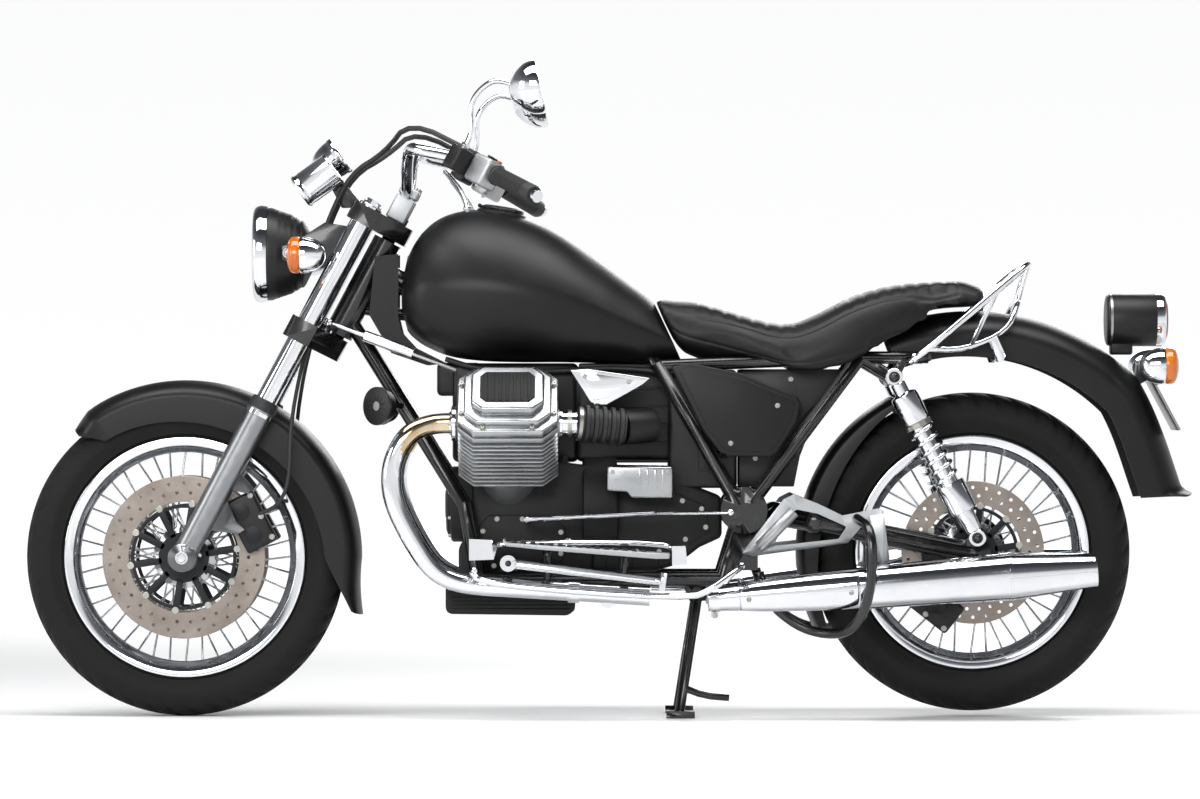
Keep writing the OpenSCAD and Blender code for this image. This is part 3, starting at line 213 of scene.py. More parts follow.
def joined(name, parts):
    """Several objects as one piece with all their materials."""
    select(parts)
    bpy.ops.object.join()
    parts[0].name = name
    return parts[0]


def painted(piece, made):
    """Gives a piece one material."""
    piece.data.materials.clear()
    piece.data.materials.append(made)
    return piece


def fitted(piece, body, slot, *nodes):
    """The piece rides on its body and stands for its nodes, which are hidden. slot is not used."""
    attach(piece, body)
    if nodes:
        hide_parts(*nodes)
    return piece


def station(table, y, column):
    """A value between a table's rows, whose first column is y, eased so that no row shows."""
    k = 0
    while k < len(table) - 2 and y > table[k + 1][0]:
        k += 1
    p = [table[min(max(i, 0), len(table) - 1)] for i in (k - 1, k, k + 1, k + 2)]
    span = p[2][0] - p[1][0]
    t = min(max((y - p[1][0]) / span, 0), 1)
    if k == 0 or k + 3 > len(table) - 1:
        return p[1][column] + (p[2][column] - p[1][column]) * t
    rise = [(p[i + 1][column] - p[i - 1][column]) / max(p[i + 1][0] - p[i - 1][0],
                                                        1) * span for i in (1, 2)]
    return ((2 * t ** 3 - 3 * t ** 2 + 1) * p[1][column] + (t ** 3 - 2 * t ** 2 + t) * rise[0]
            + (3 * t ** 2 - 2 * t ** 3) * p[2][column] + (t ** 3 - t ** 2) * rise[1])


def rounded_section(u, half, top, low, square, narrow):
    """A point round a softly squared section, starting from its underside's middle."""
    a = 2 * math.pi * u - math.pi / 2
    c, s = math.cos(a), math.sin(a)
    z = math.copysign(abs(s) ** (2 / square), s)
    x = math.copysign(abs(c) ** (2 / square), c) * (1 - narrow * max(0, z))
    return half * x, (top + low) / 2 + (top - low) / 2 * z


def turned(name, profile, centre, axis, steps=48, angle=32):
    """A round piece from (radius, distance along the axis) pairs, as on a lathe."""
    aim = Vector((0, 0, 1)).rotation_difference(Vector(axis))

    def where(u, v):
        radius, height = profile[round(v * (len(profile) - 1))]
        return Vector(centre) + aim @ Vector((radius * math.cos(2 * math.pi * u),
                                              radius * math.sin(2 * math.pi * u), height))

    return skin(name, steps, len(profile) - 1, where, angle)


tank_half = 172
steering_offset, yoke_room = 60, 67
# along, share of the half width, top and underside
tank_table = [
    (-350, 0.40, 560, 476), (-342, 0.56, 590, 452), (-324, 0.72, 628, 432), (-300, 0.83, 655, 416),
    (-255, 0.93, 680, 398), (-195, 0.99, 689, 389), (-116, 1.00, 675, 386), (-36, 0.95, 640, 386),
    (43, 0.84, 586, 384), (100, 0.72, 544, 380), (142, 0.63, 512, 378), (178, 0.55, 478, 382),
    (214, 0.48, 440, 388),
]


def seat_seam(z):
    """How far back the slanted seam between tank and seat lies at a height."""
    return 198 - (z - 404) * 52 / 112


def tank_surface(u, v):
    """The nose rounds to a point, and the tail is cut along the slanted seam with the seat."""
    along = min(max((v - 0.02) / 0.96, 0), 1)
    y = -350 + 554 * along
    closing = min(1, 0.35 + v * 16) if 0 < v < 1 else 0
    half, top, low = (station(tank_table, y, k) for k in (1, 2, 3))
    middle = (top + low) / 2
    x, z = rounded_section(u, tank_half * half * closing, middle + (top - middle) * closing,
                           middle + (low - middle) * closing, 2.5, 0.3)
    # a soft recess for the rider's knee
    knee = math.exp(-((y + 10) / 95) ** 2 - ((z - 470) / 60) ** 2)
    x -= math.copysign(5 * knee, x) if abs(x) > 60 else 0
    y = min(y, seat_seam(z) - 1)
    # a hollow at the front leaves room for the upper yoke to turn about the steering axis
    ahead = (y + half_wheelbase) * math.cos(rake) - z * math.sin(rake)
    up = (y + half_wheelbase) * math.sin(rake) + z * math.cos(rake)
    off = math.hypot(x, ahead - steering_offset)
    room = yoke_room * min(1, max(0, (up - 722) / 16))
    if off < room:
        reach = max(off, 1)
        x = x * room / reach
        ahead = steering_offset + (ahead - steering_offset) * room / reach
        y = -half_wheelbase + ahead * math.cos(rake) + up * math.sin(rake)
        z = -ahead * math.sin(rake) + up * math.cos(rake)
    return x, y, z


tank = painted(skin("fuel_tank_skin", 96, 100, tank_surface, 50), satin_black)
collar = painted(turned("filler_collar", [(25, -30), (47, -30), (49, -26), (49, -3), (47, -1),
                                          (44, -0.2), (26, -0.2), (24, -2), (24, -30), (25, -30)],
                        (0, -152, 686), (0, math.sin(math.radians(9)), math.cos(math.radians(9))), 64),
                 satin_black)
fitted(joined("fuel_tank_shell", [tank, collar]), "chassis", "satin_black", "fuel_tank")


# ---------- Tyres ----------
# Moulded rubber cross-plies. Slanted drain grooves are cut in from each shoulder between two rings
# that run all the way round, and each sidewall has a raised rib where it meets the rim.


def tyre(name, centre, r, w, rim_r):
    """r and w are the tyre's radius and width, and rim_r is the radius of its seat."""
    bead = rim_r - 12
    side = (r - bead) / 2
    half = [(bead, 0.30 * w), (rim_r + 4, 0.36 * w), (rim_r + 6, 0.4 * w), (rim_r + 9, 0.405 * w),
            (rim_r + 11, 0.41 * w), (rim_r + 0.55 * side, 0.485 * w), (rim_r + 0.72 * side, 0.5 * w),
            (r - 0.75 * side, 0.49 * w), (r - 0.52 * side, 0.455 * w), (r - 0.36 * side, 0.41 * w),
            (r - 0.25 * side, 0.36 * w), (r - 0.17 * side, 0.31 * w), (r - 0.1 * side, 0.25 * w),
            (r - 0.06 * side, 0.19 * w), (r - 0.035 * side, 0.14 * w), (r - 0.03 * side, 0.12 * w),
            (r - 0.022 * side, 0.10 * w), (r - 0.004 * side, 0.05 * w)]
    section = half + [(r, 0)] + [(a, -b) for a, b in reversed(half)]
    section += [(bead - 1, -0.2 * w), (bead - 1, 0.2 * w), half[0]]
    top = len(half)
    steps = 360

    def where(u, v):
        k = round(v * (len(section) - 1))
        turn = round(u * steps) % steps
        radius, across = section[k]
        row = abs(k - top)
        if k <= 2 * top:
            if row == 3:
                radius -= 4.5
            elif 4 <= row <= 10:
                lean = turn + row + (0 if k < top else 3)
                if lean % 8 < 2:
                    radius -= 4.2 if row < 9 else 2.2
                    across *= 0.985
        a = 2 * math.pi * turn / steps
        return centre[0] + across, centre[1] + radius * math.cos(a), centre[2] + radius * math.sin(a)

    return skin(name, steps, len(section) - 1, where, 38)


# carbon black road rubber with a dry dusty bloom
tyre_rubber = finish("tyre_rubber_with_road_dust", "#101011", "#1b1a19", 0.0, (0.62, 0.8), 1.5, 0.08,
                     Specular_IOR_Level=0.22)
fitted(painted(tyre("front_tyre_tread", front_axle, 316, 110, 238), tyre_rubber), "front_wheel", "tyre",
       "front_tyre")
fitted(painted(tyre("rear_tyre_tread", rear_axle, 316, 140, 231), tyre_rubber), "rear_wheel", "tyre",
       "rear_tyre")


# ---------- Brake discs ----------
# Ground steel rings, cross-drilled in two rows, float on black alloy carriers. Ten steel bobbins
# join each ring to its carrier.

# ground disc steel, browned slightly by heat
disc_steel = finish("ground_disc_steel", "#857c75", "#958d86", 1.0, (0.3, 0.42), 0.6, 0.02)
# hard black anodising on the carriers
carrier_black = finish("black_anodised_alloy", "#1b1c1e", "#242527", 0.6, (0.38, 0.5), 0.8, 0.01)
# zinc-plated fasteners: pale grey, slightly yellow
zinc = finish("zinc_plated_steel", "#a3a39e", "#b4b3ac", 1.0, (0.28, 0.42), 0.7, 0.015)


def worked(piece, kind, **settings):
    """Adds a modifier, applies it, and gives the piece back."""
    select([piece])
    change = piece.modifiers.new(kind.lower(), kind)
    for setting, value in settings.items():
        setattr(change, setting, value)
    bpy.ops.object.modifier_apply(modifier=change.name)
    return piece


def block(name, centre, size, bevel, spin=None, segments=3):
    """A machined or cast block with rounded edges, turned by a matrix about its middle."""
    bpy.ops.object.select_all(action="DESELECT")
    bpy.ops.mesh.primitive_cube_add(size=1)
    piece = bpy.context.object
    piece.name = name
    for corner in piece.data.vertices:
        away = Vector([corner.co[k] * size[k] for k in range(3)])
        corner.co = place(Vector(centre) + (spin @ away if spin else away))
    if bevel:
        worked(piece, "BEVEL", width=bevel / 1000, segments=segments)
    return tidied(piece, 40)


def brake_disc(name, centre, r, out):
    """out is 1 or -1, the way the disc's bobbins face."""
    x, cy, cz = centre
    inner = 0.68 * r
    ring = turned(name, [(inner, -2.5), (r - 0.6, -2.5), (r, -2), (r, 2), (r - 0.6, 2.5), (inner, 2.5),
                         (inner, -2.5)], centre, (1, 0, 0), 120, 30)
    drills = []
    for k in range(30):
        for radius, lag in ((inner + (r - inner) * 0.36, 0), (inner + (r - inner) * 0.72, 0.5)):
            a = math.radians(12 * (k + lag))
            drills.append(turned("drill", [(0, -6), (3.6, -6), (3.6, 6), (0, 6)],
                                 (x, cy + radius * math.cos(a), cz + radius * math.sin(a)), (1, 0, 0),
                                 10))
    drill = joined("drills", drills)
    worked(ring, "BOOLEAN", object=drill, operation="DIFFERENCE", solver="EXACT")
    bpy.data.objects.remove(drill)
    tidied(ring, 30)
    painted(ring, disc_steel)
    parts = [ring,
             painted(turned("carrier", [(28.4, -2), (50, -2), (50, 2), (28.4, 2), (28.4, -2)], centre,
                            (1, 0, 0), 60), carrier_black),
             painted(turned("carrier_rim", [(inner - 12, -1.9), (inner - 5, -1.9), (inner - 5, 1.9),
                                            (inner - 12, 1.9), (inner - 12, -1.9)], centre, (1, 0, 0),
                            90), carrier_black)]
    for k in range(10):
        a = math.radians(36 * k + 9)
        middle = (46 + inner - 8) / 2
        spin = Matrix.Rotation(a, 3, "X")
        parts.append(painted(block("arm", (x, cy + middle * math.cos(a), cz + middle * math.sin(a)),
                                   (4, inner - 8 - 46 + 6, 13), 1.2, spin), carrier_black))
        spot = (x, cy + (inner - 3) * math.cos(a), cz + (inner - 3) * math.sin(a))
        parts.append(painted(turned("bobbin", [(0, -3.6), (6.4, -3.6), (7, -3), (7, 3), (6.4, 3.6),
                                               (3.2, 3.6), (3, 3.1), (0, 3.1)], spot, (out, 0, 0), 18),
                             zinc))
    return joined(name, parts)


fitted(joined("front_disc_pair",
              [brake_disc("front_disc", (side * 64, *front_axle[1:]), 161, side) for side in (1, -1)]),
       "front_wheel", "disc_steel", "front_discs")
fitted(brake_disc("rear_disc_ring", (76, *rear_axle[1:]), 141, 1), "rear_wheel", "disc_steel",
       "rear_disc")


# ---------- Mudguards ----------
# Pressed steel with a rolled edge, in the tank's satin black. The rear one hides a plain liner over
# the tyre, and the front one is carried on two stays by the fork's sliders.


def mudguard(name, axle, sections, thick, crown, steps):
    """sections holds functions from 0-1 to angle, crown radius, skirt and half width."""
    rows = []
    for k, (count, at) in enumerate(sections):
        rows += [at(i / count) for i in range(0 if k == 0 else 1, count + 1)]

    def where(u, v):
        angle, r, skirt, half = rows[round(v * (len(rows) - 1))]
        low = min(crown, skirt * 0.9)
        n = round(u * steps)
        a = math.radians(angle)
        if n == 0 or n == steps:
            x, drop = math.copysign(half, n - 1), skirt
        else:
            b = math.radians(-90 + 180 * (n - 1) / (steps - 2))
            x, drop = half * math.sin(b), low * (1 - math.cos(b))
        return x, axle[1] + (r - drop) * math.cos(a), axle[2] + (r - drop) * math.sin(a)

    piece = skin(name, steps, len(rows) - 1, where, 60)
    worked(piece, "SOLIDIFY", thickness=thick / 1000, offset=-1.0)
    return tidied(piece, 50)


front_guard = painted(mudguard("front_mudguard_shell", front_axle, [
    (5, lambda t: (131 - 7 * t, 334.5 + 14 * t, 18 + 54 * t, 59 + 12 * t)),
    (48, lambda t: (124 - 124 * t, 350.5 - 2 * math.exp(-t * 30), 72 + 14 * math.sin(math.pi * t), 71)),
    (8, lambda t: (-18 * t, 350.5 - 8 * math.sin(math.pi / 2 * t) + 28 * t * t, 72 - 50 * t, 71)),
], 2.4, 34, 34), satin_black)


def in_fork(point):
    """A point in the fork's own lines, whose z runs up from the front axle, in millimetres."""
    x, y, z = point
    return Vector((x, -half_wheelbase + y * math.cos(rake) + z * math.sin(rake),
                   -y * math.sin(rake) + z * math.cos(rake)))


def screw(centre, axis, width, made, hexagon=True):
    """The head of a bolt with its washer, or a round socket head."""
    r = width / 2
    parts = [painted(turned("washer", [(0, -1), (r * 1.25, -1), (r * 1.25, 0.8), (0, 0.8)], centre,
                            axis, 20), made)]
    if hexagon:
        profile = [(0, 0.8), (r, 0.8), (r, width * 0.5), (r * 0.86, width * 0.6), (0, width * 0.62)]
        parts.append(painted(turned("head", profile, centre, axis, 6, 20), made))
    else:
        profile = [(0, 0.8), (r, 0.8), (r, width * 0.55), (r * 0.85, width * 0.65),
                   (r * 0.5, width * 0.65), (r * 0.45, width * 0.3), (0, width * 0.3)]
        parts.append(painted(turned("head", profile, centre, axis, 16, 30), made))
    return joined("screw", parts)


lean = Matrix.Rotation(-rake, 3, "X")
stays = []
for side in (1, -1):
    stays.append(painted(block("stay", in_fork((side * 80.5, 0, 280)), (21, 32, 60), 4, lean),
                         satin_black))
    for up in (264, 296):
        stays.append(screw(in_fork((side * 91, 0, up)), (side, 0, 0), 9, zinc))
fitted(joined("front_mudguard_set", [front_guard] + stays), "steering", "satin_black", "front_mudguard")

rear_guard_outer = painted(mudguard("rear_mudguard_shell", rear_axle, [
    (40, lambda t: (112 - 66 * t, 478, 88 + 6 * t, 92)),
    (20, lambda t: (46 - 28 * t, 478 - 40 * math.sin(math.pi / 2 * t), 94 - 4 * t, 92)),
    (3, lambda t: (18 - 3 * t, 438 + 16 * t * t, 90 - 66 * t, 92)),
], 3.2, 52, 40), satin_black)
rear_liner = painted(mudguard("liner", rear_axle, [
    (36, lambda t: (206 - 88 * t, 348, 26 + 22 * math.sin(math.pi * t), 70)),
], 3.4, 18, 20), satin_black)
fitted(joined("rear_mudguard_set", [rear_guard_outer, rear_liner]), "chassis", "satin_black",
       "rear_mudguard")


# ---------- Seat ----------
# A foam base under stretched black vinyl. The cover is blown up over the base as cloth, then a welt
# is drawn round the lower edge and the top is quilted in cross pleats.

# black vinyl with a leather grain: soft sheen, pores close together
seat_vinyl = finish("black_vinyl", "#0b0b0b", "#121212", 0.0, (0.42, 0.55), 1.7, 0.18,
                    Specular_IOR_Level=0.3)
seat_half, quilt_share = 156, 0.80
# along, share of the half width, top and underside
seat_table = [
    (130, 0.58, 512, 470), (165, 0.64, 522, 440), (200, 0.70, 516, 404), (281, 0.83, 494, 380),
    (361, 0.93, 470, 360), (420, 0.98, 463, 344), (470, 1.00, 480, 340), (539, 0.98, 515, 352),
    (599, 0.90, 534, 382), (639, 0.85, 541, 396), (698, 0.77, 546, 406), (758, 0.70, 548, 440),
    (800, 0.60, 544, 478), (820, 0.48, 530, 500),
]


def seat_surface(u, v):
    """A little inside the finished size all over, hollow above the rails and the tyre."""
    end = 1 if 0 < v < 1 else 0
    y = 141 + 670 * min(max((v - 0.012) / 0.976, 0), 1)
    half, top, low = (station(seat_table, y, k) for k in (1, 2, 3))
    half, top, low = seat_half * half - 6, top - 7, low + 7
    soften = min(1, 0.78 + 8 * min(v, 1 - v)) * end
    x, z = rounded_section(u, half * soften, (top + low) / 2 + (top - low) / 2 * soften,
                           (top + low) / 2 - (top - low) / 2 * soften, 3.2, 0.12)
    if z < (top + low) / 2 and end:
        arch = 10 + math.sqrt(max(0, 493 ** 2 - (y - half_wheelbase) ** 2))
        share = min(1, max(0, (120 - abs(x)) / 16))
        z += share * max(0, min(top - 26, arch) - z)
        share = min(1, max(0, (126 - abs(x)) / 14)) * min(1, max(0, (575 - y) / 30))
        z += share * max(0, min(top - 26, 396) - z)
    return x, max(y, seat_seam(z) + 9) if v < 0.3 else y, z


seat = skin("seat_cover", 84, 150, seat_surface, 60)
worked(seat, "REMESH", mode="VOXEL", voxel_size=0.006)
worked(seat, "SMOOTH", factor=0.5, iterations=9)
start = [corner.co.copy() for corner in seat.data.vertices]
cloth = seat.modifiers.new("cover", "CLOTH")
cloth.settings.quality = 6
cloth.settings.mass = 0.3
cloth.settings.tension_stiffness = cloth.settings.compression_stiffness = 40
cloth.settings.bending_stiffness = 2
cloth.settings.use_pressure = True
cloth.settings.uniform_pressure_force = 4
cloth.settings.effector_weights.gravity = 0
cloth.point_cache.frame_start, cloth.point_cache.frame_end = 1, 20
for step in range(1, 21):
    bpy.context.scene.frame_set(step)
shaped = seat.evaluated_get(bpy.context.evaluated_depsgraph_get()).to_mesh()
blown = [corner.co.copy() for corner in shaped.vertices]
seat.modifiers.remove(cloth)
bpy.context.scene.frame_set(1)
for corner, before, after in zip(seat.data.vertices, start, blown):
    move = after - before
    corner.co = before + move * min(1, 0.0065 / max(move.length, 1e-6))
worked(seat, "SUBSURF", levels=1)
for corner in seat.data.vertices:
    x, y, z = measured(corner.co)
    half, top, low = (station(seat_table, min(max(y, 130), 820), k) for k in (1, 2, 3))
    up = (z - low) / (top - low)
    # the pleats: seven channels across the rider's half and nine across the passenger's
    quilt_edge = quilt_share * half * seat_half
    on_top = min(1, max(0, (up - 0.72) / 0.16)) * min(1, max(0, (quilt_edge - abs(x)) / 12))
    for first, last, count in ((236, 430, 7), (508, 752, 9)):
        if first < y < last:
            phase = (y - first) / (last - first) * count
            gap = abs(phase - round(phase)) * (last - first) / count
            corner.co.z -= on_top * 0.0019 * math.exp(-(gap / 4.6) ** 2)
    # the stitched border of the quilting and the welt above the lower edge
    border = abs(abs(x) - quilt_edge)
    if up > 0.7 and 236 < y < 752:
        corner.co.z -= 0.0028 * math.exp(-(border / 2.6) ** 2)
    welt = abs(z - (low + 0.34 * (top - low)))
    if abs(x) > 0.6 * half * seat_half:
        corner.co.x -= math.copysign(0.0026 * math.exp(-(welt / 2.4) ** 2), corner.co.x)
tidied(seat, 60)
painted(seat, seat_vinyl)
fitted(seat, "chassis", "seat_cover", "seat")


# ---------- Headlamp ----------
# A ribbed black shell hangs between two ears. Its chrome ring clamps a domed glass over a bright
# reflector, with the bulb and its shade in the middle.

# clear moulded glass
lens_glass = finish("clear_lens_glass", "#f6f8f8", "#ffffff", 0.0, (0.02, 0.05), 8.0, 0.002,
                    Transmission_Weight=0.96, IOR=1.49)
# vacuum-coated reflector, brighter and rougher than the plating outside
reflector = finish("aluminised_reflector", "#dfe1e4", "#f0f1f2", 1.0, (0.06, 0.12), 4.0, 0.006)

# hard black plastic and anodised black castings
black_plastic = finish("textured_black_plastic", "#0e0e10", "#161617", 0.0, (0.38, 0.5), 0.7, 0.05,
                       Specular_IOR_Level=0.35)
# bright chrome on nickel: a near mirror, dulled a little by handling
chrome = finish("bright_chrome_plate", "#e6e7ea", "#dcdee2", 1.0, (0.035, 0.1), 6.0, 0.004)
# gloss stove enamel: near black, a clear sharp gloss with a soft ripple
black_enamel = finish("black_stove_enamel", "#0a0a0b", "#101012", 0.0, (0.2, 0.3), 2.5, 0.02,
                      Coat_Weight=0.4, Coat_Roughness=0.08)


def slab(name, outline, low, high, to, bevel, segments=2):
    """An outline of (a, b) pairs raised from c = low to high. to(a, b, c) is a point of the bike."""
    bpy.ops.object.select_all(action="DESELECT")
    bpy.ops.mesh.primitive_circle_add(vertices=len(outline), radius=1, fill_type="NGON")
    piece = bpy.context.object
    piece.name = name
    for corner, (a, b) in zip(piece.data.vertices, outline):
        corner.co = place(to(a, b, low))
    rise = place(to(0, 0, high)) - place(to(0, 0, low))
    bpy.ops.object.mode_set(mode="EDIT")
    bpy.ops.mesh.select_all(action="SELECT")
    bpy.ops.mesh.extrude_region_move(TRANSFORM_OT_translate={"value": rise})
    bpy.ops.mesh.select_all(action="SELECT")
    bpy.ops.mesh.normals_make_consistent(inside=False)
    bpy.ops.object.mode_set(mode="OBJECT")
    worked(piece, "BEVEL", width=bevel / 1000, segments=segments, limit_method="ANGLE",
           angle_limit=math.radians(25))
    return tidied(piece, 40)


def plate(name, outline, x, thick, bevel, segments=2):
    """A side outline of (y, z) pairs, cut from stock of one thickness and centred on x."""
    return slab(name, outline, x - thick / 2, x + thick / 2, lambda y, z, out: (out, y, z), bevel,
                segments)


lamp = (0, -572, 601)
shell = [(0, -46), (34, -44), (62, -30), (66, -26), (67, -24), (66, -22), (72, -14), (73, -12),
         (73, -10), (78, -4), (79, -2), (79.4, 0), (82, 8), (83, 10), (83.4, 12), (86, 20), (88, 24),
         (88, 26), (92, 36), (92, 44), (88, 44), (84, 30), (60, -14), (0, -30)]
parts = [
    painted(turned("lamp_shell", shell, lamp, (0, -1, 0), 72, 40), black_plastic),
    painted(turned("lamp_ring", [(92, 44.4), (95, 44.4), (96, 50), (97, 56), (96.5, 62), (94, 68),
                                 (90, 72), (86, 73), (83, 71), (82.4, 66),
                                 (86, 60), (88, 50), (88, 44.4), (92, 44.4)], lamp, (0, -1, 0), 96, 60),
                                 chrome),
    painted(turned("lamp_reflector", [(0, 4), (20, 5), (40, 12), (60, 26), (74, 42), (82, 58), (84, 60),
                                      (86, 59), (78, 40), (60, 22),
                                      (40, 9), (0, 1)], lamp, (0, -1, 0), 72, 60), reflector),
    painted(turned("lamp_bulb", [(0, 6), (9, 6), (9, 14), (13, 20), (13, 34), (10, 40), (0, 42)], lamp,
                   (0, -1, 0), 32, 40), reflector),
]


def lamp_glass(u, v):
    """Fluted upright on the inside, and gently domed."""
    rows = [(0, 76.4), (20, 76), (40, 74.8), (60, 72.4), (76, 69), (82.6, 66.6), (82.6, 63.6), (76, 66),
            (60, 69), (40, 71.4), (20, 72.6), (0, 73)]
    radius, out = rows[round(v * 11)]
    x, z = radius * math.cos(2 * math.pi * u), radius * math.sin(2 * math.pi * u)
    if v > 0.55:
        out -= 0.9 * abs(math.sin(x / 5.5)) * (radius < 80)
    return lamp[0] + x, lamp[1] - out, lamp[2] + z


parts.append(painted(skin("lamp_glass", 96, 11, lamp_glass, 60), lens_glass))
for side in (1, -1):
    parts.append(painted(plate("ear", [(-584, 615), (-562, 621), (-500, 661), (-448, 653), (-470, 611),
                                       (-512, 575), (-562, 581), (-584, 587)], side * 101, 5, 1.2),
                         black_enamel))
    parts.append(painted(turned("pivot", [(0, 80), (9, 80), (9, 99), (0, 99)], lamp, (side, 0, 0), 20),
                         black_plastic))
    parts.append(screw((side * 103.4, *lamp[1:]), (side, 0, 0), 17, chrome))
fitted(joined("headlamp_assembly", parts), "steering", "lamp_housing", "headlamp")


# ---------- Indicators ----------
# Bullet lamps with spun chrome cups and amber lenses held by a rim. The stalks are threaded tube.

# amber acrylic that glows a little where light passes through
amber = finish("amber_acrylic", "#c65f0a", "#d97a1c", 0.0, (0.08, 0.16), 3.0, 0.02,
               Transmission_Weight=0.2, Coat_Weight=0.5)


def eased(path, times=2):
    """A path with its corners cut, so that it bends smoothly."""
    path = [Vector(p) for p in path]
    for _ in range(times):
        cut = [path[0]]
        for i in range(len(path) - 1):
            if i > 0:
                cut.append(path[i] * 0.75 + path[i + 1] * 0.25)
            if i < len(path) - 2:
                cut.append(path[i] * 0.25 + path[i + 1] * 0.75)
        path = cut + [path[-1]]
    return path


def tube(name, path, widths, sides=14, angle=40):
    """A round tube along a path. widths is one diameter, or a list with one for each point."""
    n = len(path)
    runs = [(path[min(i + 1, n - 1)] - path[max(i - 1, 0)]).normalized() for i in range(n)]
    up = runs[0].orthogonal().normalized()
    ups = []
    for run in runs:
        up = (up - run * up.dot(run)).normalized()
        ups.append(up.copy())

    def where(u, v):
        row = round(v * (n + 1))
        i = min(max(row - 1, 0), n - 1)
        width = 0 if row in (0, n + 1) else (widths[i] if isinstance(widths, (list, tuple)) else widths)
        turn = 2 * math.pi * u
        return path[i] + (ups[i] * math.cos(turn) + runs[i].cross(ups[i]) * math.sin(turn)) * width / 2

    return skin(name, sides, n + 1, where, angle)


bullet = [(0, -44), (5, -43.6), (10, -42.8), (16, -40), (22, -36), (28, -28.5), (32, -20), (35, -8),
          (36, 0), (36, 6), (34.6, 7.5), (33, 6.5), (32, 0), (0, -10)]
bullet_lens = [(0, 5), (33, 6.6), (34.4, 8), (35.6, 10), (36, 13), (36, 20), (35, 23.4), (33, 26.2),
               (29.5, 28.6), (24, 31), (20, 32), (18, 32.3), (16, 33.2), (14, 32.8), (8, 33.6), (0, 34)]


def indicator(centre, toward, root):
    """root is the end of its stalk."""
    cup = painted(turned("cup", bullet, centre, (0, toward, 0), 48, 50), chrome)
    lens = painted(turned("lens", bullet_lens, centre, (0, toward, 0), 48, 35), amber)
    middle = Vector(centre) + Vector((-math.copysign(24, centre[0]), 0, 0))
    stalk = painted(tube("stalk", eased([root, Vector(root) * 0.5 + middle * 0.5, middle], 1), 15, 20),
                    chrome)
    nut = painted(turned("nut", [(8, 0), (12, 0), (12, 7), (8, 7), (8, 0)],
                         Vector(root) + (middle - Vector(root)) * 0.15, middle - Vector(root), 6, 20),
                  chrome)
    return [cup, lens, stalk, nut]


fitted(joined("front_indicator_pair",
              [p for side in (1, -1) for p in indicator((side * 148, -539, 596), -1,
                                                        (side * 104.6, -532, 596))]), "steering",
       "indicator_lens", "front_indicators")
fitted(joined("rear_indicator_pair",
              [p for side in (1, -1) for p in indicator((side * 124, 1148, 378), 1,
                                                        (side * 86, 1122, 372))]), "chassis",
       "indicator_lens", "rear_indicators")


# ---------- Gauges ----------
# Two spun chrome cups of different sizes stand on a black bracket, tipped towards the rider. Each
# has a printed black dial under glass, with a needle and a ring of raised marks.

# matt printing ink on the dials
dial_ink = finish("dial_marks_ink", "#d9d8d2", "#e6e5de", 0.0, (0.5, 0.6), 1.0, 0.01)
tip = Matrix.Rotation(math.radians(-54), 3, "X")


def gauge(centre, cup, face_r, face_at):
    """cup is its turned profile, and face_at is the height of the dial along its axis."""
    axis = tip @ Vector((0, 0, 1))
    at = Vector(centre) + axis * face_at
    parts = [painted(turned("cup", cup, centre, axis, 64, 45), chrome),
             painted(turned("dial", [(0, 0), (face_r, 0), (face_r, -2), (0, -2)], at, axis, 48),
                     black_plastic),
             painted(turned("glass", [(0, 3.4), (face_r, 2.6), (face_r, 1.6), (0, 2.4)], at, axis, 48,
                            60), lens_glass)]
    for k in range(21):
        a = math.radians(-135 + 13.5 * k)
        spot = at + tip @ Vector((math.sin(a) * (face_r - 5), math.cos(a) * (face_r - 5), 0.3))
        parts.append(painted(block("mark", spot, (1.2 if k % 5 else 2, 6 if k % 5 == 0 else 3.6, 0.5),
                                   0, tip @ Matrix.Rotation(-a, 3, "Z"), 1), dial_ink))
    spin = tip @ Matrix.Rotation(math.radians(128), 3, "Z")
    parts.append(painted(block("needle", at + spin @ Vector((0, 8, 1)), (1.4, 24, 0.6), 0, spin, 1),
                         amber))
    parts.append(painted(turned("needle_cap", [(0, 0), (4.5, 0), (4.5, 1.6), (3.5, 2), (0, 2)], at,
                                axis, 20), black_plastic))
    return parts


gauges = gauge((54, -485, 769), [(0, -82), (31, -82), (35, -78), (35, -74), (33.2, -72), (33.2, -66),
                                 (34, -64), (34, -4), (35, -3), (35, 0), (34, 2), (31, 2.6), (30, 1),
                                 (30, -3), (0, -4)], 30, -2)
gauges += gauge((-48, -475, 799), [(0, -64), (16, -60), (24, -54), (30, -46), (34.5, -36), (37, -26),
                                   (38.5, -16), (39, -8), (40.2, -6), (40.4, 0), (39, 2.6), (36, 3),
                                   (35, 1), (35, -3), (0, -4)], 35, -2)
for side in (1, -1):
    gauges.append(painted(plate("bracket", [(-425, 694), (-470, 693), (-498, 746), (-488, 760),
                                            (-462, 740)], side * 14, 7, 1), black_enamel))
gauges.append(painted(block("bracket_cross", (4, -492, 748), (100, 9, 34), 2,
                            Matrix.Rotation(math.radians(-40), 3, "X")), black_enamel))
fitted(joined("gauge_pair", gauges), "steering", "chrome", "gauges")


# ---------- Handlebar, grips and controls ----------
# A 24 mm chromed bar is clamped in two split alloy risers. Rubber grips have turned rings, and ahead
# of each sits a cast perch with its ball-ended lever and a switch box with rocker buttons.

# bead-blasted cast alloy: grey, matte, with a sandy skin
cast_alloy = finish("bead_blasted_cast_alloy", "#a6a8aa", "#b6b8ba", 1.0, (0.42, 0.55), 0.9, 0.05)
# polished alloy: brighter and smoother than the castings, with faint buffing haze
polished_alloy = finish("buffed_cast_alloy", "#a2a4a6", "#b0b2b4", 1.0, (0.2, 0.32), 1.6, 0.01)


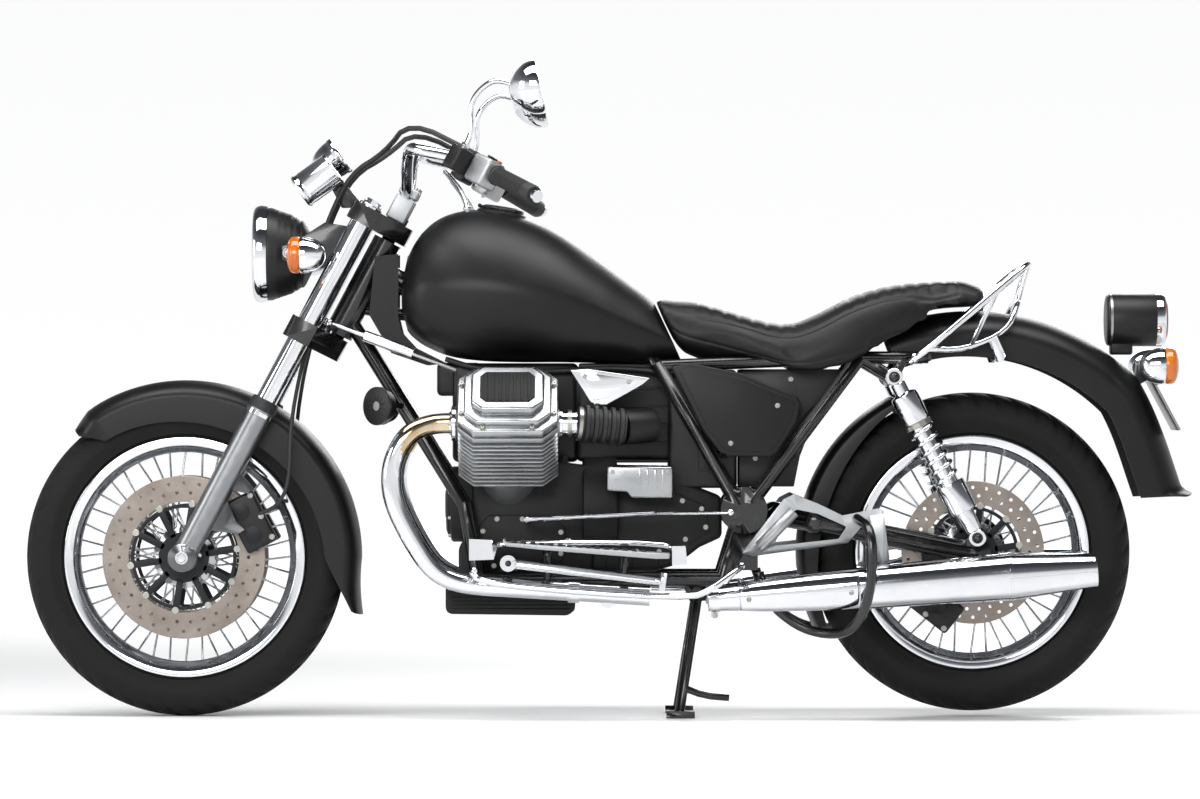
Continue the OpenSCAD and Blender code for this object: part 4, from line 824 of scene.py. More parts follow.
def twin(piece):
    """A mirror image of the piece on the other side of the bike."""
    select([piece])
    bpy.ops.object.duplicate()
    other = bpy.context.object
    for corner in other.data.vertices:
        corner.co.x = -corner.co.x
    other.data.flip_normals()
    return other


def paired(name, parts, body, slot, node):
    """Joins the parts of one side, adds their mirror image, and fits both to a body."""
    left = joined(name, parts)
    return fitted(joined(name, [left, twin(left)]), body, slot, node)


def to_fork(point):
    """A point of the maker's millimetres in the fork's own lines."""
    return lean.inverted() @ (Vector(point) - Vector(front_axle))


start, end, bend = to_fork((318, -171, 753)), to_fork((460, -76, 700)), to_fork((176, -334, 806))
grip_axis = (end - start).normalized()
grip_turn = Matrix.Rotation(math.atan2(grip_axis.y, grip_axis.x), 3, "Z")
grip_turn = grip_turn @ Matrix.Rotation(math.acos(grip_axis.z), 3, "Y")
bar_path = [in_fork(p) for p in eased([(-68, 54, 837), (68, 54, 837), bend, bend + Vector((40, 26, 6)),
                                       start - grip_axis * 92, start - grip_axis * 40, end], 3)]
left_half = tube("bar_half", bar_path, 24, 24)
for corner in left_half.data.vertices:
    corner.co.x = max(corner.co.x, 0)
bar = [painted(left_half, chrome), painted(twin(left_half), chrome)]
for side in (1, -1):
    bar.append(painted(block("riser", in_fork((side * 42, 54, 810)), (30, 40, 52), 4, lean),
                       cast_alloy))
    bar.append(painted(block("riser_cap", in_fork((side * 42, 54, 847)), (30, 40, 20), 5, lean),
                       cast_alloy))
    for across in (-14, 14):
        bar.append(screw(in_fork((side * 42, 54 + across, 857)), lean @ Vector((0, 0, 1)), 9, zinc,
                         False))
fitted(joined("handlebar_tube", bar), "steering", "chrome", "handlebar")

# moulded rubber of grips, boots and sleeves
soft_rubber = finish("moulded_black_rubber", "#151516", "#1e1e1e", 0.0, (0.5, 0.64), 1.0, 0.06)
ridges = [(12.6, 0), (19.4, 0), (20, 1), (20, 3), (18.6, 4)]
for k in range(21):
    ridges += [(17.9, 6 + 5 * k), (17.9, 8.4 + 5 * k), (16.7, 9 + 5 * k), (16.7, 10.4 + 5 * k)]
ridges += [(18, 112), (18, 134), (16.5, 138), (12.6, 138.5), (12.6, 0)]
grip_from = in_fork(start + grip_axis * 27)
grips = [painted(turned("grip", ridges, grip_from, lean @ grip_axis, 36, 28), soft_rubber)]
grips.append(twin(grips[0]))
fitted(joined("grip_pair", grips), "steering", "grip_rubber", "grips")


def at_grip(point):
    """A point in the left grip's own lines, in the maker's millimetres."""
    return in_fork(start + grip_turn @ Vector(point))


spin = lean @ grip_turn
controls = [painted(block("switch_box", at_grip((5, -1, -11)), (57, 45, 57), 7, spin), cast_alloy),
            painted(block("perch", at_grip((7, -37, -58)), (48, 40, 37), 6, spin), black_plastic),
            painted(block("clamp", at_grip((0, 0, -58)), (34, 34, 20), 6, spin), black_plastic),
            painted(block("rocker", at_grip((-25, -6, -8)), (7, 14, 10), 2, spin), black_plastic),
            painted(block("rocker", at_grip((-25, 11, -20)), (7, 12, 9), 2, spin), black_plastic),
            painted(block("starter", at_grip((-25, 8, 4)), (6, 9, 9), 2, spin), amber),
            screw(at_grip((34, 12, -28)), spin @ Vector((1, 0, 0)), 5, zinc, False),
            screw(at_grip((34, -14, 2)), spin @ Vector((1, 0, 0)), 5, zinc, False),
            screw(at_grip((-18, -40, -58)), spin @ Vector((-1, 0, 0)), 9, zinc)]
blade = [in_fork(p) for p in eased([start + Vector(v) for v in ((-40, -78, -39), (-18, -58, -46),
                                                                (34, -22, -64), (62, -2, -84))], 3)]
blade_widths = [9 + 3 * math.sin(math.pi * k / (len(blade) - 1)) for k in range(len(blade))]
controls.append(painted(tube("blade", blade, blade_widths, 16), polished_alloy))
ball = [(8 * math.sin(math.pi * k / 12), -8 * math.cos(math.pi * k / 12)) for k in range(13)]
controls.append(painted(turned("ball", ball, blade[-1], (0, 0, 1), 20, 60), polished_alloy))
paired("control_pair", controls, "steering", "control_alloy", "hand_controls")


# ---------- Mirrors ----------
# Round chrome cups with a flat silvered glass facing the rider, on bent chrome stems that screw into
# the perches with a lock nut.

# silvered glass: a true mirror
mirror_glass = finish("silvered_mirror_glass", "#f0f2f4", "#f4f6f8", 1.0, (0.01, 0.03), 8.0, 0.001)
eye, foot = to_fork((310, -105, 912)), start - grip_axis * 62 + Vector((21, -28, 18.3))
stem = [in_fork(p) for p in eased([foot, foot + Vector((0, 0, 32)), eye + Vector((-30, -84, -66)),
                                   eye + Vector((-16, -64, -8)), eye + Vector((0, -24, 0))], 3)]
facing = lean @ Matrix.Rotation(math.radians(-50), 3, "X") @ Vector((0, 0, 1))
head = [(0, -28), (12, -28), (17, -25.5), (22, -22), (30, -15.4), (38, -8), (44.6, 0.6), (50, 10),
        (52, 18), (53, 26), (53, 31), (51.6, 33.4), (49.4, 34), (48.6, 33), (48.6, 31.4), (46, 31),
        (0, 31)]
mirror = [painted(tube("stem", stem, 11, 16), chrome),
          painted(turned("cup", head, in_fork(eye), facing, 64, 40), chrome),
          painted(turned("glass", [(0, 31.2), (46, 31.2), (46, 32), (0, 32)], in_fork(eye), facing, 64),
                  mirror_glass),
          painted(turned("lock_nut", [(0, 0), (10, 0), (10, 9), (0, 9)], in_fork(foot),
                         lean @ Vector((0, 0, 1)), 6, 20), chrome)]
paired("mirror_pair", mirror, "steering", "chrome", "mirrors")


# ---------- Cables and hoses ----------
# Clutch, throttle and wiring run as one loom each side from the switch box to the steering head. A
# rubber hose runs down from the lower clamp to each caliper.


def route(points):
    """A smooth path through points given in the fork's lines."""
    return [in_fork(p) for p in eased(points)]


def hose(name, path, diameter, made):
    """A cord whose length is that of its own route."""
    piece = painted(tube(name, path, diameter, 12), made)
    return fitted(piece, "steering", "cable_rubber")


loom = [start - grip_axis * 41 + Vector((0, 0, 18.6)), start - grip_axis * 80 + Vector((0, 0, 18.6)),
        bend + Vector((30, -20, 48)), Vector((70, -24, 893)), Vector((50, -66, 825)),
        Vector((46, -62, 725)), Vector((50, -50, 669))]
brake_hose = [(72, 20, 482), (82, 34, 425), (112, 66, 330), (118, 118, 230), (112, 118, 176),
              (96, 92, 148)]
for side, word in ((1, "left"), (-1, "right")):
    for kind, points, diameter in (("loom", loom, 10.6), ("brake_hose", brake_hose, 8)):
        cable = hose(kind + "_" + word, route([(side * p[0], p[1], p[2]) for p in points]), diameter,
                     soft_rubber)
        if kind == "loom" and side == 1:
            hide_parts("cables")


# ---------- Crankcase ----------
# Cast alloy under black heat paint: a crankcase with its finned sump, a bell housing and a gearbox.
# Covers are bolted on all round, and the alternator's drum is at the front.

# heat-proof crackle paint on the crankcase: charcoal and dry
engine_black = finish("crackle_heat_paint", "#0f1010", "#181819", 0.0, (0.5, 0.64), 1.2, 0.1,
                      Specular_IOR_Level=0.3)


crank_centre = (0, -137, 104)

engine = [
    plate("crankcase", [(-236, 20), (-210, 60), (-210, 156), (-196, 184), (-40, 188), (30, 180),
                        (30, -20), (-4, -44), (-236, -44)], 0, 172, 7, 3),
    plate("sump", [(-262, -46), (-262, -104), (-254, -112), (-20, -115), (-6, -104), (-6, -46)], 0, 166,
          7, 3),
    plate("sump_flange", [(-264, -50), (-264, -40), (-4, -40), (-4, -50)], 0, 174, 2, 2),
    plate("gearbox", [(26, 170), (26, -28), (150, -28), (196, -14), (240, 20), (284, 40), (284, 120),
                      (180, 160)], 0, 168, 9, 3),
    turned("bell", [(0, 0), (108, 0), (114, 4), (115, 8), (115, 64), (112, 69), (0, 70)], (0, 8, 100),
           (0, 1, 0), 96, 40),
    turned("timing_case", [(0, 0), (52, 0), (60, 3), (62, 8), (72, 10), (75, 14), (75, 60), (0, 60)],
           (0, -262, 104), (0, 1, 0), 72, 40),
    turned("alternator_cap", [(0, -3), (26, -3), (30, 0), (34, 0), (34, 3), (0, 3)], (0, -261, 104),
           (0, 1, 0), 48, 40),
]
for side in (1, -1):
    for k in range(7):
        engine.append(block("sump_fin", (side * 84, -134, -58 - 7.4 * k), (5, 236, 2.6), 1.1, None, 2))
    engine.append(plate("side_cover", [(-196, 4), (-196, 62), (-176, 84), (-60, 84), (-24, 60),
                                       (-24, 4), (-48, -24), (-176, -24)], side * 87, 5, 2))
    engine.append(plate("gearbox_cover", [(60, 4), (60, 130), (170, 136), (250, 104), (262, 52),
                                          (226, 30), (180, 4)], side * 84.6, 5, 2))
    for y in (44, 96, 148):
        engine.append(block("gearbox_rib", (side * 84.4, y + 8, -6), (5, 6, 26), 1.6, None, 2))
for piece in engine:
    painted(piece, engine_black)
for side in (1, -1):
    for y, z in [(-188, 52), (-188, 2), (-160, 76), (-110, 76), (-66, 76), (-34, 50), (-34, 8),
                 (-56, -16), (-112, -16), (-166, -16)]:
        engine.append(screw((side * 89.8, y, z), (side, 0, 0), 8, zinc, False))
    for y, z in [(70, 14), (70, 66), (70, 118), (120, 122), (168, 126), (206, 112), (244, 96),
                 (252, 60), (212, 36), (160, 12), (116, 12)]:
        engine.append(screw((side * 87.4, y, z), (side, 0, 0), 8, zinc, False))
    for k in range(7):
        engine.append(screw((side * 80, -244 + 36 * k, -51), (0, 0, -1), 6, zinc, False))
for k in range(8):
    a = math.radians(45 * k + 22)
    engine.append(screw((66 * math.cos(a), -252.4, 104 + 66 * math.sin(a)), (0, -1, 0), 8, zinc, False))
for side in (1, -1):
    engine.append(painted(turned("barrel_base", [(0, 60), (60, 60), (61, 62), (61, 128), (64, 130),
                                                 (64, 134), (61, 135.6), (0, 135.6)], crank_centre,
                                 (side, 0, 1), 64, 40), cast_alloy))
engine.append(screw((70, -30, 187), (0, 0, 1), 22, engine_black))
fitted(joined("crankcase_and_gearbox", engine), "chassis", "engine_black", "engine_block")


# ---------- Cylinders and heads ----------
# Two cast alloy barrels at a right angle to each other, with eleven thin fins each. The heads'
# polished rocker covers are held by socket screws and have a ribbed black inlay.


def in_cylinder(a, b, c):
    """The left cylinder's own lines: c is out along its bore and a is outwards and down."""
    root = math.sqrt(0.5)
    return (a + c) * root, -137 + b, 104 + (c - a) * root


def octagon(half, half_y, cut):
    """The outline of a fin or a cover, with its four corners cut."""
    return [(half, half_y - cut), (half - cut, half_y), (cut - half, half_y), (-half, half_y - cut),
            (-half, cut - half_y), (cut - half, -half_y), (half - cut, -half_y), (half, cut - half_y)]


cylinder = [slab("fin", octagon(86, 98, 30), 138 + k * 120 / 11, 138 + k * 120 / 11 + 3.4, in_cylinder,
                 1.5) for k in range(11)]
cylinder.append(slab("head", octagon(86, 98, 30), 258, 271.6, in_cylinder, 3, 3))
cylinder.append(turned("barrel", [(0, 136), (63, 136), (63, 262), (0, 262)], crank_centre, (1, 0, 1),
                       64))
centre = in_cylinder(0, 0, 228)
for way in (1, -1):
    cylinder.append(turned("port", [(0, 60), (29, 60), (29, 97), (27.6, 101), (20, 101), (20, 96),
                                    (0, 96)], centre, (0, way, 0), 48, 40))
for a, b in ((60, 70), (60, -70), (-60, 70), (-60, -70)):
    cylinder.append(turned("boss", [(0, 136), (9, 136), (9, 262), (0, 262)], in_cylinder(a, b, 0),
                           (1, 0, 1), 20))
left_cylinder = painted(joined("cylinder", cylinder), cast_alloy)
fitted(joined("cylinder_pair", [left_cylinder, twin(left_cylinder)]), "chassis", "cast_alloy",
       "cylinders")

cover = [slab("base", octagon(88, 98, 30), 272.4, 294, in_cylinder, 3, 3),
         slab("step", octagon(76, 86, 26), 292, 308.4, in_cylinder, 5, 4),
         slab("crown", octagon(60, 72, 22), 306, 328.4, in_cylinder, 7, 5)]
for piece in cover:
    painted(piece, polished_alloy)
cover.append(painted(slab("inlay", octagon(42, 54, 12), 326, 328.9, in_cylinder, 0.8), engine_black))
for k in range(7):
    b = -42 + 14 * k
    cover.append(painted(slab("inlay_rib", [(38, b - 2.6), (38, b + 2.6), (-38, b + 2.6),
                                            (-38, b - 2.6)], 328, 331, in_cylinder, 1), engine_black))
out = Vector((1, 0, 1)).normalized()
for a, b in ((80, 48), (80, -48), (-80, 48), (-80, -48), (40, 91), (40, -91), (-40, 91), (-40, -91)):
    cover.append(screw(in_cylinder(a, b, 294.6), out, 9, zinc, False))
paired("rocker_cover_pair", cover, "chassis", "polished_alloy", "rocker_covers")


# ---------- Intakes and covers ----------
# A plated flange sleeve, then a bellows of moulded rubber back to the air box. The bright covers
# beside them are plated pressings with a rolled edge.

port = Vector((161.2, -35.7, 265.2))
run = Vector((-14, 94, -8)).normalized()
boot = [(0, 0), (31, 0), (32, 2), (32, 12)]
for k in range(5):
    boot += [(32, 13 + 17 * k), (37.6, 15 + 17 * k), (37.6, 22 + 17 * k), (32, 24 + 17 * k)]
boot += [(32, 96), (0, 97)]
intake = [painted(turned("sleeve", [(0, 0), (30, 0), (30, 5), (25, 6), (25, 34), (0, 34)], port,
                         (0, 1, 0), 40, 40), chrome),
          painted(turned("clip", [(24, 0), (26.6, 0), (26.6, 8), (24, 8), (24, 0)],
                         port + Vector((0, 16, 0)), (0, 1, 0), 40), zinc),
          painted(turned("boot", boot, port + Vector((0, 33, 0)), run, 48, 35), soft_rubber),
          painted(turned("duct", [(0, 0), (34, 0), (34, 60), (31, 68), (0, 69)],
                         port + Vector((-14, 124, -8)), (-32, 64, 4), 40, 40), black_plastic),
          painted(turned("clip", [(32, 0), (34, 0), (34, 7), (32, 7), (32, 0)],
                         port + Vector((0, 35, 0)), run, 40), zinc)]
paired("intake_pair", intake, "chassis", "intake_rubber", "intakes")

air = [painted(plate("air_cover", [(-16, 370), (20, 372), (142, 354), (128, 342), (56, 300.4),
                                   (28, 300.4)], 146, 8, 2.4, 3), chrome),
       painted(plate("air_cover_step", [(4, 362), (22, 364), (112, 350), (60, 316), (32, 310)], 149.6,
                     2.4, 1, 2), chrome),
       painted(plate("relay_box", [(57, 182), (186, 180), (186, 118), (104, 118), (96, 130), (57, 132)],
                     134, 34, 5, 4), polished_alloy),
       painted(turned("mount", [(0, 0), (7, 0), (7, 33), (0, 33)], (89, 150, 150), (1, 0, 0), 20),
               zinc)]
for k in range(4):
    air.append(painted(block("relay_rib", (151, 122 + 15 * k, 156), (1.6, 4, 36), 0.6, None, 2),
                       polished_alloy))
for y, z in ((14, 358), (100, 347)):
    air.append(screw((150.6, y, z), (1, 0, 0), 8, zinc, False))
for y, z in ((68, 170), (176, 170), (176, 128)):
    air.append(screw((151, y, z), (1, 0, 0), 7, zinc, False))
paired("air_cover_pair", air, "chassis", "chrome", "air_covers")


# ---------- Exhaust ----------
# Plated header pipes with clamped flanges, straw coloured for the first hand's breadth. Fishtail
# silencers are joined on with band clamps, and each carries a bolted heat shield.

# chrome that heat has turned straw and brown
tinted_chrome = finish("heat_tinted_chrome", "#c2a57c", "#dccfb6", 1.0, (0.08, 0.18), 6.0, 0.006)
port = Vector((161.2, -238.3, 265.2))
header = [port, port + Vector((0, -48, 0)), Vector((178, -334, 246)), Vector((180, -366, 190)),
          Vector((182, -366, 120)), Vector((180, -330, 44)), Vector((172, -288, -22)),
          Vector((166, -238, -48)), Vector((164, -180, -54))]
header = eased(header, 3) + [Vector((164, -40, -62)), Vector((172, 120, -72)),
                             Vector((174.4, 142, -73.2))]
pipe = tube("header_pipe", header, 39.6, 40)
painted(pipe, chrome)
pipe.data.materials.append(tinted_chrome)
for face in pipe.data.polygons:
    x, y, z = measured(face.center)
    if y > -345 and z > 205:
        face.material_index = 1
pipes = [pipe,
         painted(turned("flange", [(20, 0), (33, 0), (35, 2), (35, 8), (33, 10), (24, 10), (22, 14),
                                   (20, 14), (20, 0)], port, (0, -1, 0), 48), chrome)]
for side in (1, -1):
    pipes.append(screw(port + Vector((side * 27, -10.4, 0)), (0, -1, 0), 9, zinc))
pipes.append(painted(turned("band", [(20, 0), (23, 0), (23, 22), (20, 22), (20, 0)], (165, -18, -63.3),
                            (8, 160, -10), 48), chrome))
left_pipe = joined("header", pipes)
balance = painted(turned("balance_pipe", [(0, -168), (18, -168), (18, 168), (0, 168)], (0, 60, -80),
                         (1, 0, 0), 40), chrome)
fitted(joined("header_pair", [left_pipe, twin(left_pipe), balance]), "chassis", "chrome",
       "exhaust_pipes")

front, slope = Vector((188, 256, -80)), math.radians(4.4)
rise = Vector((0, math.cos(slope), math.sin(slope)))
body = [(21, -0.5), (23, 0), (24, 20), (27.4, 70), (31, 110), (34.2, 155), (37, 200), (39.4, 262),
        (42, 330), (43.6, 415), (45.2, 500), (46.8, 588), (47, 590), (47, 596), (46.6, 598),
        (43.4, 640), (39.6, 682), (36, 724), (33.4, 754), (33, 760), (31.6, 762), (29, 761),
        (26.2, 756), (26.2, 702), (0, 702)]
silencer = [painted(turned("silencer_body", body, front, rise, 64, 35), chrome),
            painted(turned("seam_ring", [(46, 0), (47.6, 0.8), (47.6, 5), (46, 6), (46, 0)],
                           front + rise * 590, rise, 64), chrome),
            painted(turned("clamp", [(22.6, 0), (26, 0), (26, 16), (23, 16), (22.6, 0)],
                           front + rise * 4, rise, 40), chrome),
            painted(block("clamp_ear", front + rise * 12 + Vector((0, 0, -30)), (12, 14, 14), 2),
                    chrome), screw(front + rise * 12 + Vector((6, 0, -31)), (1, 0, 0), 9, zinc)]


def shield(u, v):
    """A curved plate wrapped round the outside of the silencer, a little clear of it."""
    along = 60 + 236 * v
    k = 0
    while body[k + 1][1] < along:
        k += 1
    swell = body[k + 1][0] - body[k][0]
    near = body[k][0] + swell * (along - body[k][1]) / (body[k + 1][1] - body[k][1])
    ends = min(1, v * 7, (1 - v) * 7)
    a = math.radians(-8 + (u - 0.5) * (96 + 22 * math.sqrt(max(0, ends))))
    lift = 2.2 if ends < 0.06 or u < 0.03 or u > 0.97 else 4.4
    up = Vector((0, -rise.z, rise.y))
    around = Vector((1, 0, 0)) * math.cos(a) * (near + lift) + up * math.sin(a) * (near + lift)
    return front + rise * along + around


guard = skin("heat_shield", 40, 72, shield, 40)
silencer.append(painted(worked(guard, "SOLIDIFY", thickness=0.0012, offset=-1.0), chrome))
for along in (78, 278):
    spot = Vector(shield(0.5, (along - 60) / 236))
    silencer.append(screw(spot + Vector((0.4, 0, 0)), (1, 0, -0.14), 8, zinc, False))
paired("silencer_pair", silencer, "chassis", "chrome", "silencers")


# ---------- Rear shock absorbers ----------
# Chromed spring units: a spun top cover, an exposed coil over the rod and a long lower shroud, with
# a rubber bush in each eye.

top, low = Vector((150, 621, 356)), Vector((150, 784, 40))
down = (low - top).normalized()
reach = (low - top).length
shock = []
for spot in (top, low):
    shock.append(painted(turned("eye", [(7.4, -12), (16, -12), (17, -11), (17, 11), (16, 12), (7.4, 12),
                                        (7.4, -12)], spot, (1, 0, 0), 40), chrome))
    shock.append(painted(turned("bush", [(7.3, -12.5), (11, -12.5), (11, 12.5), (7.3, 12.5),
                                         (7.3, -12.5)], spot, (1, 0, 0), 32), soft_rubber))
shock.append(painted(turned("covers", [(0, 14), (13, 14), (15, 16), (15, 36), (22, 38), (27, 41),
                                       (28, 46), (28, 96), (27, 99), (24, 100), (8, 100), (8, 104),
                                       (19, 108), (19.5, 112), (19.5, 238), (8, 240), (8, 236),
                                       (29, 236), (30, 239), (30, 290), (29, 297), (20, 299),
                                       (19.6, 304), (16.4, 338), (14, 342), (0, 342)], top, down, 56,
                            35), chrome))
coil = []
side_way = down.orthogonal().normalized()
for k in range(6 * 24 + 1):
    a = 2 * math.pi * k / 24
    around = side_way * math.cos(a) + down.cross(side_way) * math.sin(a)
    coil.append(top + down * (106 + k * 124 / 144) + around * 23.2)
shock.append(painted(tube("coil", coil, 8.6, 12), chrome))
shock.append(painted(turned("adjuster", [(20, 0), (26, 0), (27, 1), (27, 9), (26, 10), (20, 10),
                                         (20, 0)], top + down * 100, down, 12, 20), zinc))
paired("shock_pair", shock, "chassis", "shock_chrome", "rear_shocks")


# ---------- Side panels ----------
# Moulded covers in the tank's satin black behind the frame's triangle, with a raised border and
# rubber-bushed screws.

outline = [(182, 376), (222, 384), (321, 364), (430, 320), (438, 304), (430, 270), (392, 208),
           (376, 200), (296, 200), (278, 208), (246, 250)]
inner = [(200, 368), (224, 373), (318, 354), (420, 313), (426, 302), (420, 275), (386, 216), (374, 210),
         (299, 210), (286, 216), (254, 256)]
panel = [painted(plate("panel", outline, 141, 19, 5, 4), satin_black),
         painted(plate("raised_field", inner, 150.4, 2.4, 2, 3), satin_black),
         painted(turned("peg", [(0, -2), (4, -2), (4, 14), (0, 14)], (120, 284, 214), (1, 0, 0), 16),
                 black_plastic)]
for y, z in ((392, 300), (300, 226)):
    panel.append(screw((151.6, y, z), (1, 0, 0), 8, zinc, False))
paired("side_panel_pair", panel, "chassis", "satin_black", "side_panels")


# ---------- Tail lamp and number plate holder ----------
# A drum-shaped lamp with a black shell, a pale band at its front and a red glass facing back. The
# plate is blank sheet on a bracket.

# red acrylic of the lamp's face
red_lens = finish("red_acrylic", "#8f0a0c", "#b01214", 0.0, (0.1, 0.18), 3.0, 0.02,
                  Transmission_Weight=0.2, Coat_Weight=0.5)
tail_front = (0, 1048, 470)
tail = [painted(turned("tail_shell", [(0, 0), (40, 0), (44, 0.6), (48, 2), (50, 3.4), (51.4, 7),
                                      (51.4, 12), (52, 14), (52, 100), (51, 102), (0, 102)], tail_front,
                       (0, 1, 0), 72, 35), black_plastic),
        painted(turned("tail_band", [(50, 8), (52.2, 8), (52.2, 12.6), (50, 12.6), (50, 8)], tail_front,
                       (0, 1, 0), 72), zinc),
        painted(turned("tail_rim", [(46, 100), (52, 100), (52.4, 104), (52.4, 112), (51, 116),
                                    (48, 118), (46.6, 116), (46, 100)], tail_front, (0, 1, 0), 72, 50),
                chrome),
        painted(turned("tail_glass", [(0, 104), (47.4, 104), (47.4, 114), (44, 119), (36, 121.4),
                                      (35, 122.4), (33, 121.8), (20, 123.2), (18, 124), (16, 123.4),
                                      (0, 124)], tail_front, (0, 1, 0), 64, 40), red_lens),
        painted(block("tail_foot", (0, 1079, 415), (42, 44, 28), 5), black_plastic)]
fitted(joined("tail_lamp_unit", tail), "chassis", "lamp_housing", "tail_lamp")

# galvanised grey sheet of the number plate's holder
grey_sheet = finish("zinc_plated_sheet", "#8c8e8d", "#9b9d9b", 1.0, (0.34, 0.46), 1.0, 0.02)
# white enamelled sheet, left blank
white_sheet = finish("white_enamelled_sheet", "#dcdcd8", "#e6e6e2", 0.0, (0.3, 0.4), 2.0, 0.01)
holder_back = plate("plate_back", [(1128, 361), (1132, 362), (1190.6, 252), (1186.6, 250.6)], 0, 162,
                    0.8)
blank_plate = plate("blank_plate", [(1132.4, 359), (1133.6, 359.6), (1190.8, 253.6), (1189.6, 253)], 0,
                    156, 0.3, 1)
bracket_web = plate("bracket_web", [(1106, 342), (1110, 383), (1129, 383), (1135, 354), (1113, 341)], 0,
                    58, 2)
bracket = [painted(holder_back, grey_sheet), painted(blank_plate, white_sheet),
           painted(bracket_web, black_plastic)]
for x in (-58, 58):
    bracket.append(screw((x, 1144, 343.6), (0, 0.88, 0.47), 8, zinc, False))
fitted(joined("plate_holder", bracket), "chassis", "plate_grey", "plate_bracket")


# ---------- Calipers ----------
# Two-piece castings bolted across the disc, anodised black, with a bleed nipple and round piston
# covers on the outside.

calipers = []
for centre, axle in ((Vector((66, -648, 70)), front_axle), (Vector((76, 700.6, -91.7)), rear_axle)):
    away = (centre - Vector((centre.x, axle[1], axle[2]))).normalized()
    across = Vector((0, -away.z, away.y))
    spin = Matrix((Vector((1, 0, 0)), away, across)).transposed()
    parts = []
    for way in (1, -1):
        parts.append(painted(block("half", centre + Vector((way * 16, 0, 0)), (15.6, 65, 111), 7, spin,
                                   4), black_plastic))
        for shift in (-26, 26):
            spot = centre + Vector((way * 23, 0, 0)) + across * shift - away * 6
            parts.append(painted(turned("piston_cover", [(0, -2), (19, -2), (19, 0.2), (17.6, 0.9),
                                                         (0, 0.9)], spot, (way, 0, 0), 36, 35),
                                 carrier_black))
    parts.append(painted(block("bridge", centre + away * 25, (40, 15, 109), 4, spin, 3), black_plastic))
    for shift in (-46, 0, 46):
        parts.append(screw(centre + Vector((23.6, 0, 0)) + away * 25 + across * shift, (1, 0, 0), 9,
                           zinc, False))
    calipers.append(joined("caliper", parts))
left_caliper, back_caliper = calipers
fitted(joined("front_caliper_pair", [left_caliper, twin(left_caliper)]), "steering", "caliper_black",
       "front_calipers")
fitted(back_caliper, "chassis", "caliper_black", "rear_caliper")
back_caliper.name = "rear_caliper_unit"


# ---------- Horns ----------
# Two pressed disc horns with a slotted face and a centre adjuster, on spring brackets from the frame.

axis = Matrix.Rotation(math.radians(46), 3, "Z") @ Vector((0, -1, 0))
spot = Vector((96, -380, 299))
horn = [painted(turned("horn_body", [(0, -14), (18, -14), (20, -12), (20, 0), (31, 0), (32, 1.4),
                                     (37, 20), (38, 22), (38, 25), (36, 26), (0, 24)], spot, axis, 56,
                       35), black_plastic),
        painted(turned("horn_cap", [(0, 24), (9, 24), (9, 25.6), (0, 25.8)], spot, axis, 24), zinc)]
horn.append(painted(turned("rim", [(36, 25.2), (37.8, 25.2), (37.8, 22.8), (38, 21), (36, 21),
                                   (36, 25.2)], spot, axis, 56), zinc))
about = Vector((0, 0, 1)).rotation_difference(axis).to_matrix()
for k in range(12):
    turn = Matrix.Rotation(2 * math.pi * k / 12, 3, "Z")
    horn.append(painted(block("grille", spot + about @ turn @ Vector((21, 0, 24.6)), (19, 3, 1.6), 0.5,
                              about @ turn, 1), carrier_black))
horn.append(painted(tube("horn_stay",
                         [Vector(p) for p in ((88, -372, 299), (74, -360, 299), (61, -349, 299))], 13,
                         16), black_enamel))
paired("horn_pair", horn, "chassis", "horn_black", "horns")


# ---------- Footboards ----------
# Cast alloy platforms with turned-up toes, on welded struts from the lower rails. Ribbed rubber mats
# are pegged into each.

shape = [(-146, 36), (-140, 27), (-60, 19), (150, 2.4), (178, 2.4), (180, 12), (150, 14), (-60, 28),
         (-138, 34), (-144, 42)]
board = [painted(plate("board", shape, 236, 94, 2.2, 3), cast_alloy)]
for k in range(15):
    y = -124 + 18 * k
    z = 34 + (12.4 - 34) * (y + 138) / 288
    board.append(painted(block("mat_rib", (236, y, z + 1.6), (80, 10, 4), 1.5,
                               Matrix.Rotation(math.radians(-4.4), 3, "X"), 2), soft_rubber))
for y, z in ((-60, 18), (90, 8)):
    board.append(painted(tube("strut", [Vector((121.5, y, -42 + 9.5 * (z + 42) / 94)),
                                        Vector((164, y, -42 + 52 * (z + 42) / 94)),
                                        Vector((206, y, z))], 17, 20), black_enamel))
paired("footboard_pair", board, "chassis", "cast_alloy", "footboards")


# ---------- Fork ----------
# Chromed stanchions slide in satin alloy legs with a dust seal, a drain screw and an axle clamp. The
# cast yokes above pinch them with socket screws.

# satin clear-coated alloy of the fork's sliders
fork_alloy = finish("satin_lacquered_alloy", "#87898b", "#929496", 1.0, (0.3, 0.38), 1.4, 0.01,
                    Coat_Weight=0.25, Coat_Roughness=0.2)
up = lean @ Vector((0, 0, 1))


def on_leg(piece, side):
    """Moves a piece from the fork's middle out to one of its legs, 100 mm to the side."""
    for corner in piece.data.vertices:
        corner.co.x += side * 0.1
    return piece


def softened(node, name, made):
    """A copy of a node's own shape, with its corners merged and its round faces shaded smooth."""
    piece = bpy.data.objects.new(name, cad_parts[node].data.copy())
    bpy.context.collection.objects.link(piece)
    piece.matrix_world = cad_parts[node].matrix_world.copy()
    select([piece])
    bpy.ops.object.transform_apply(location=True, rotation=True, scale=True)
    return painted(tidied(piece, 36), made)


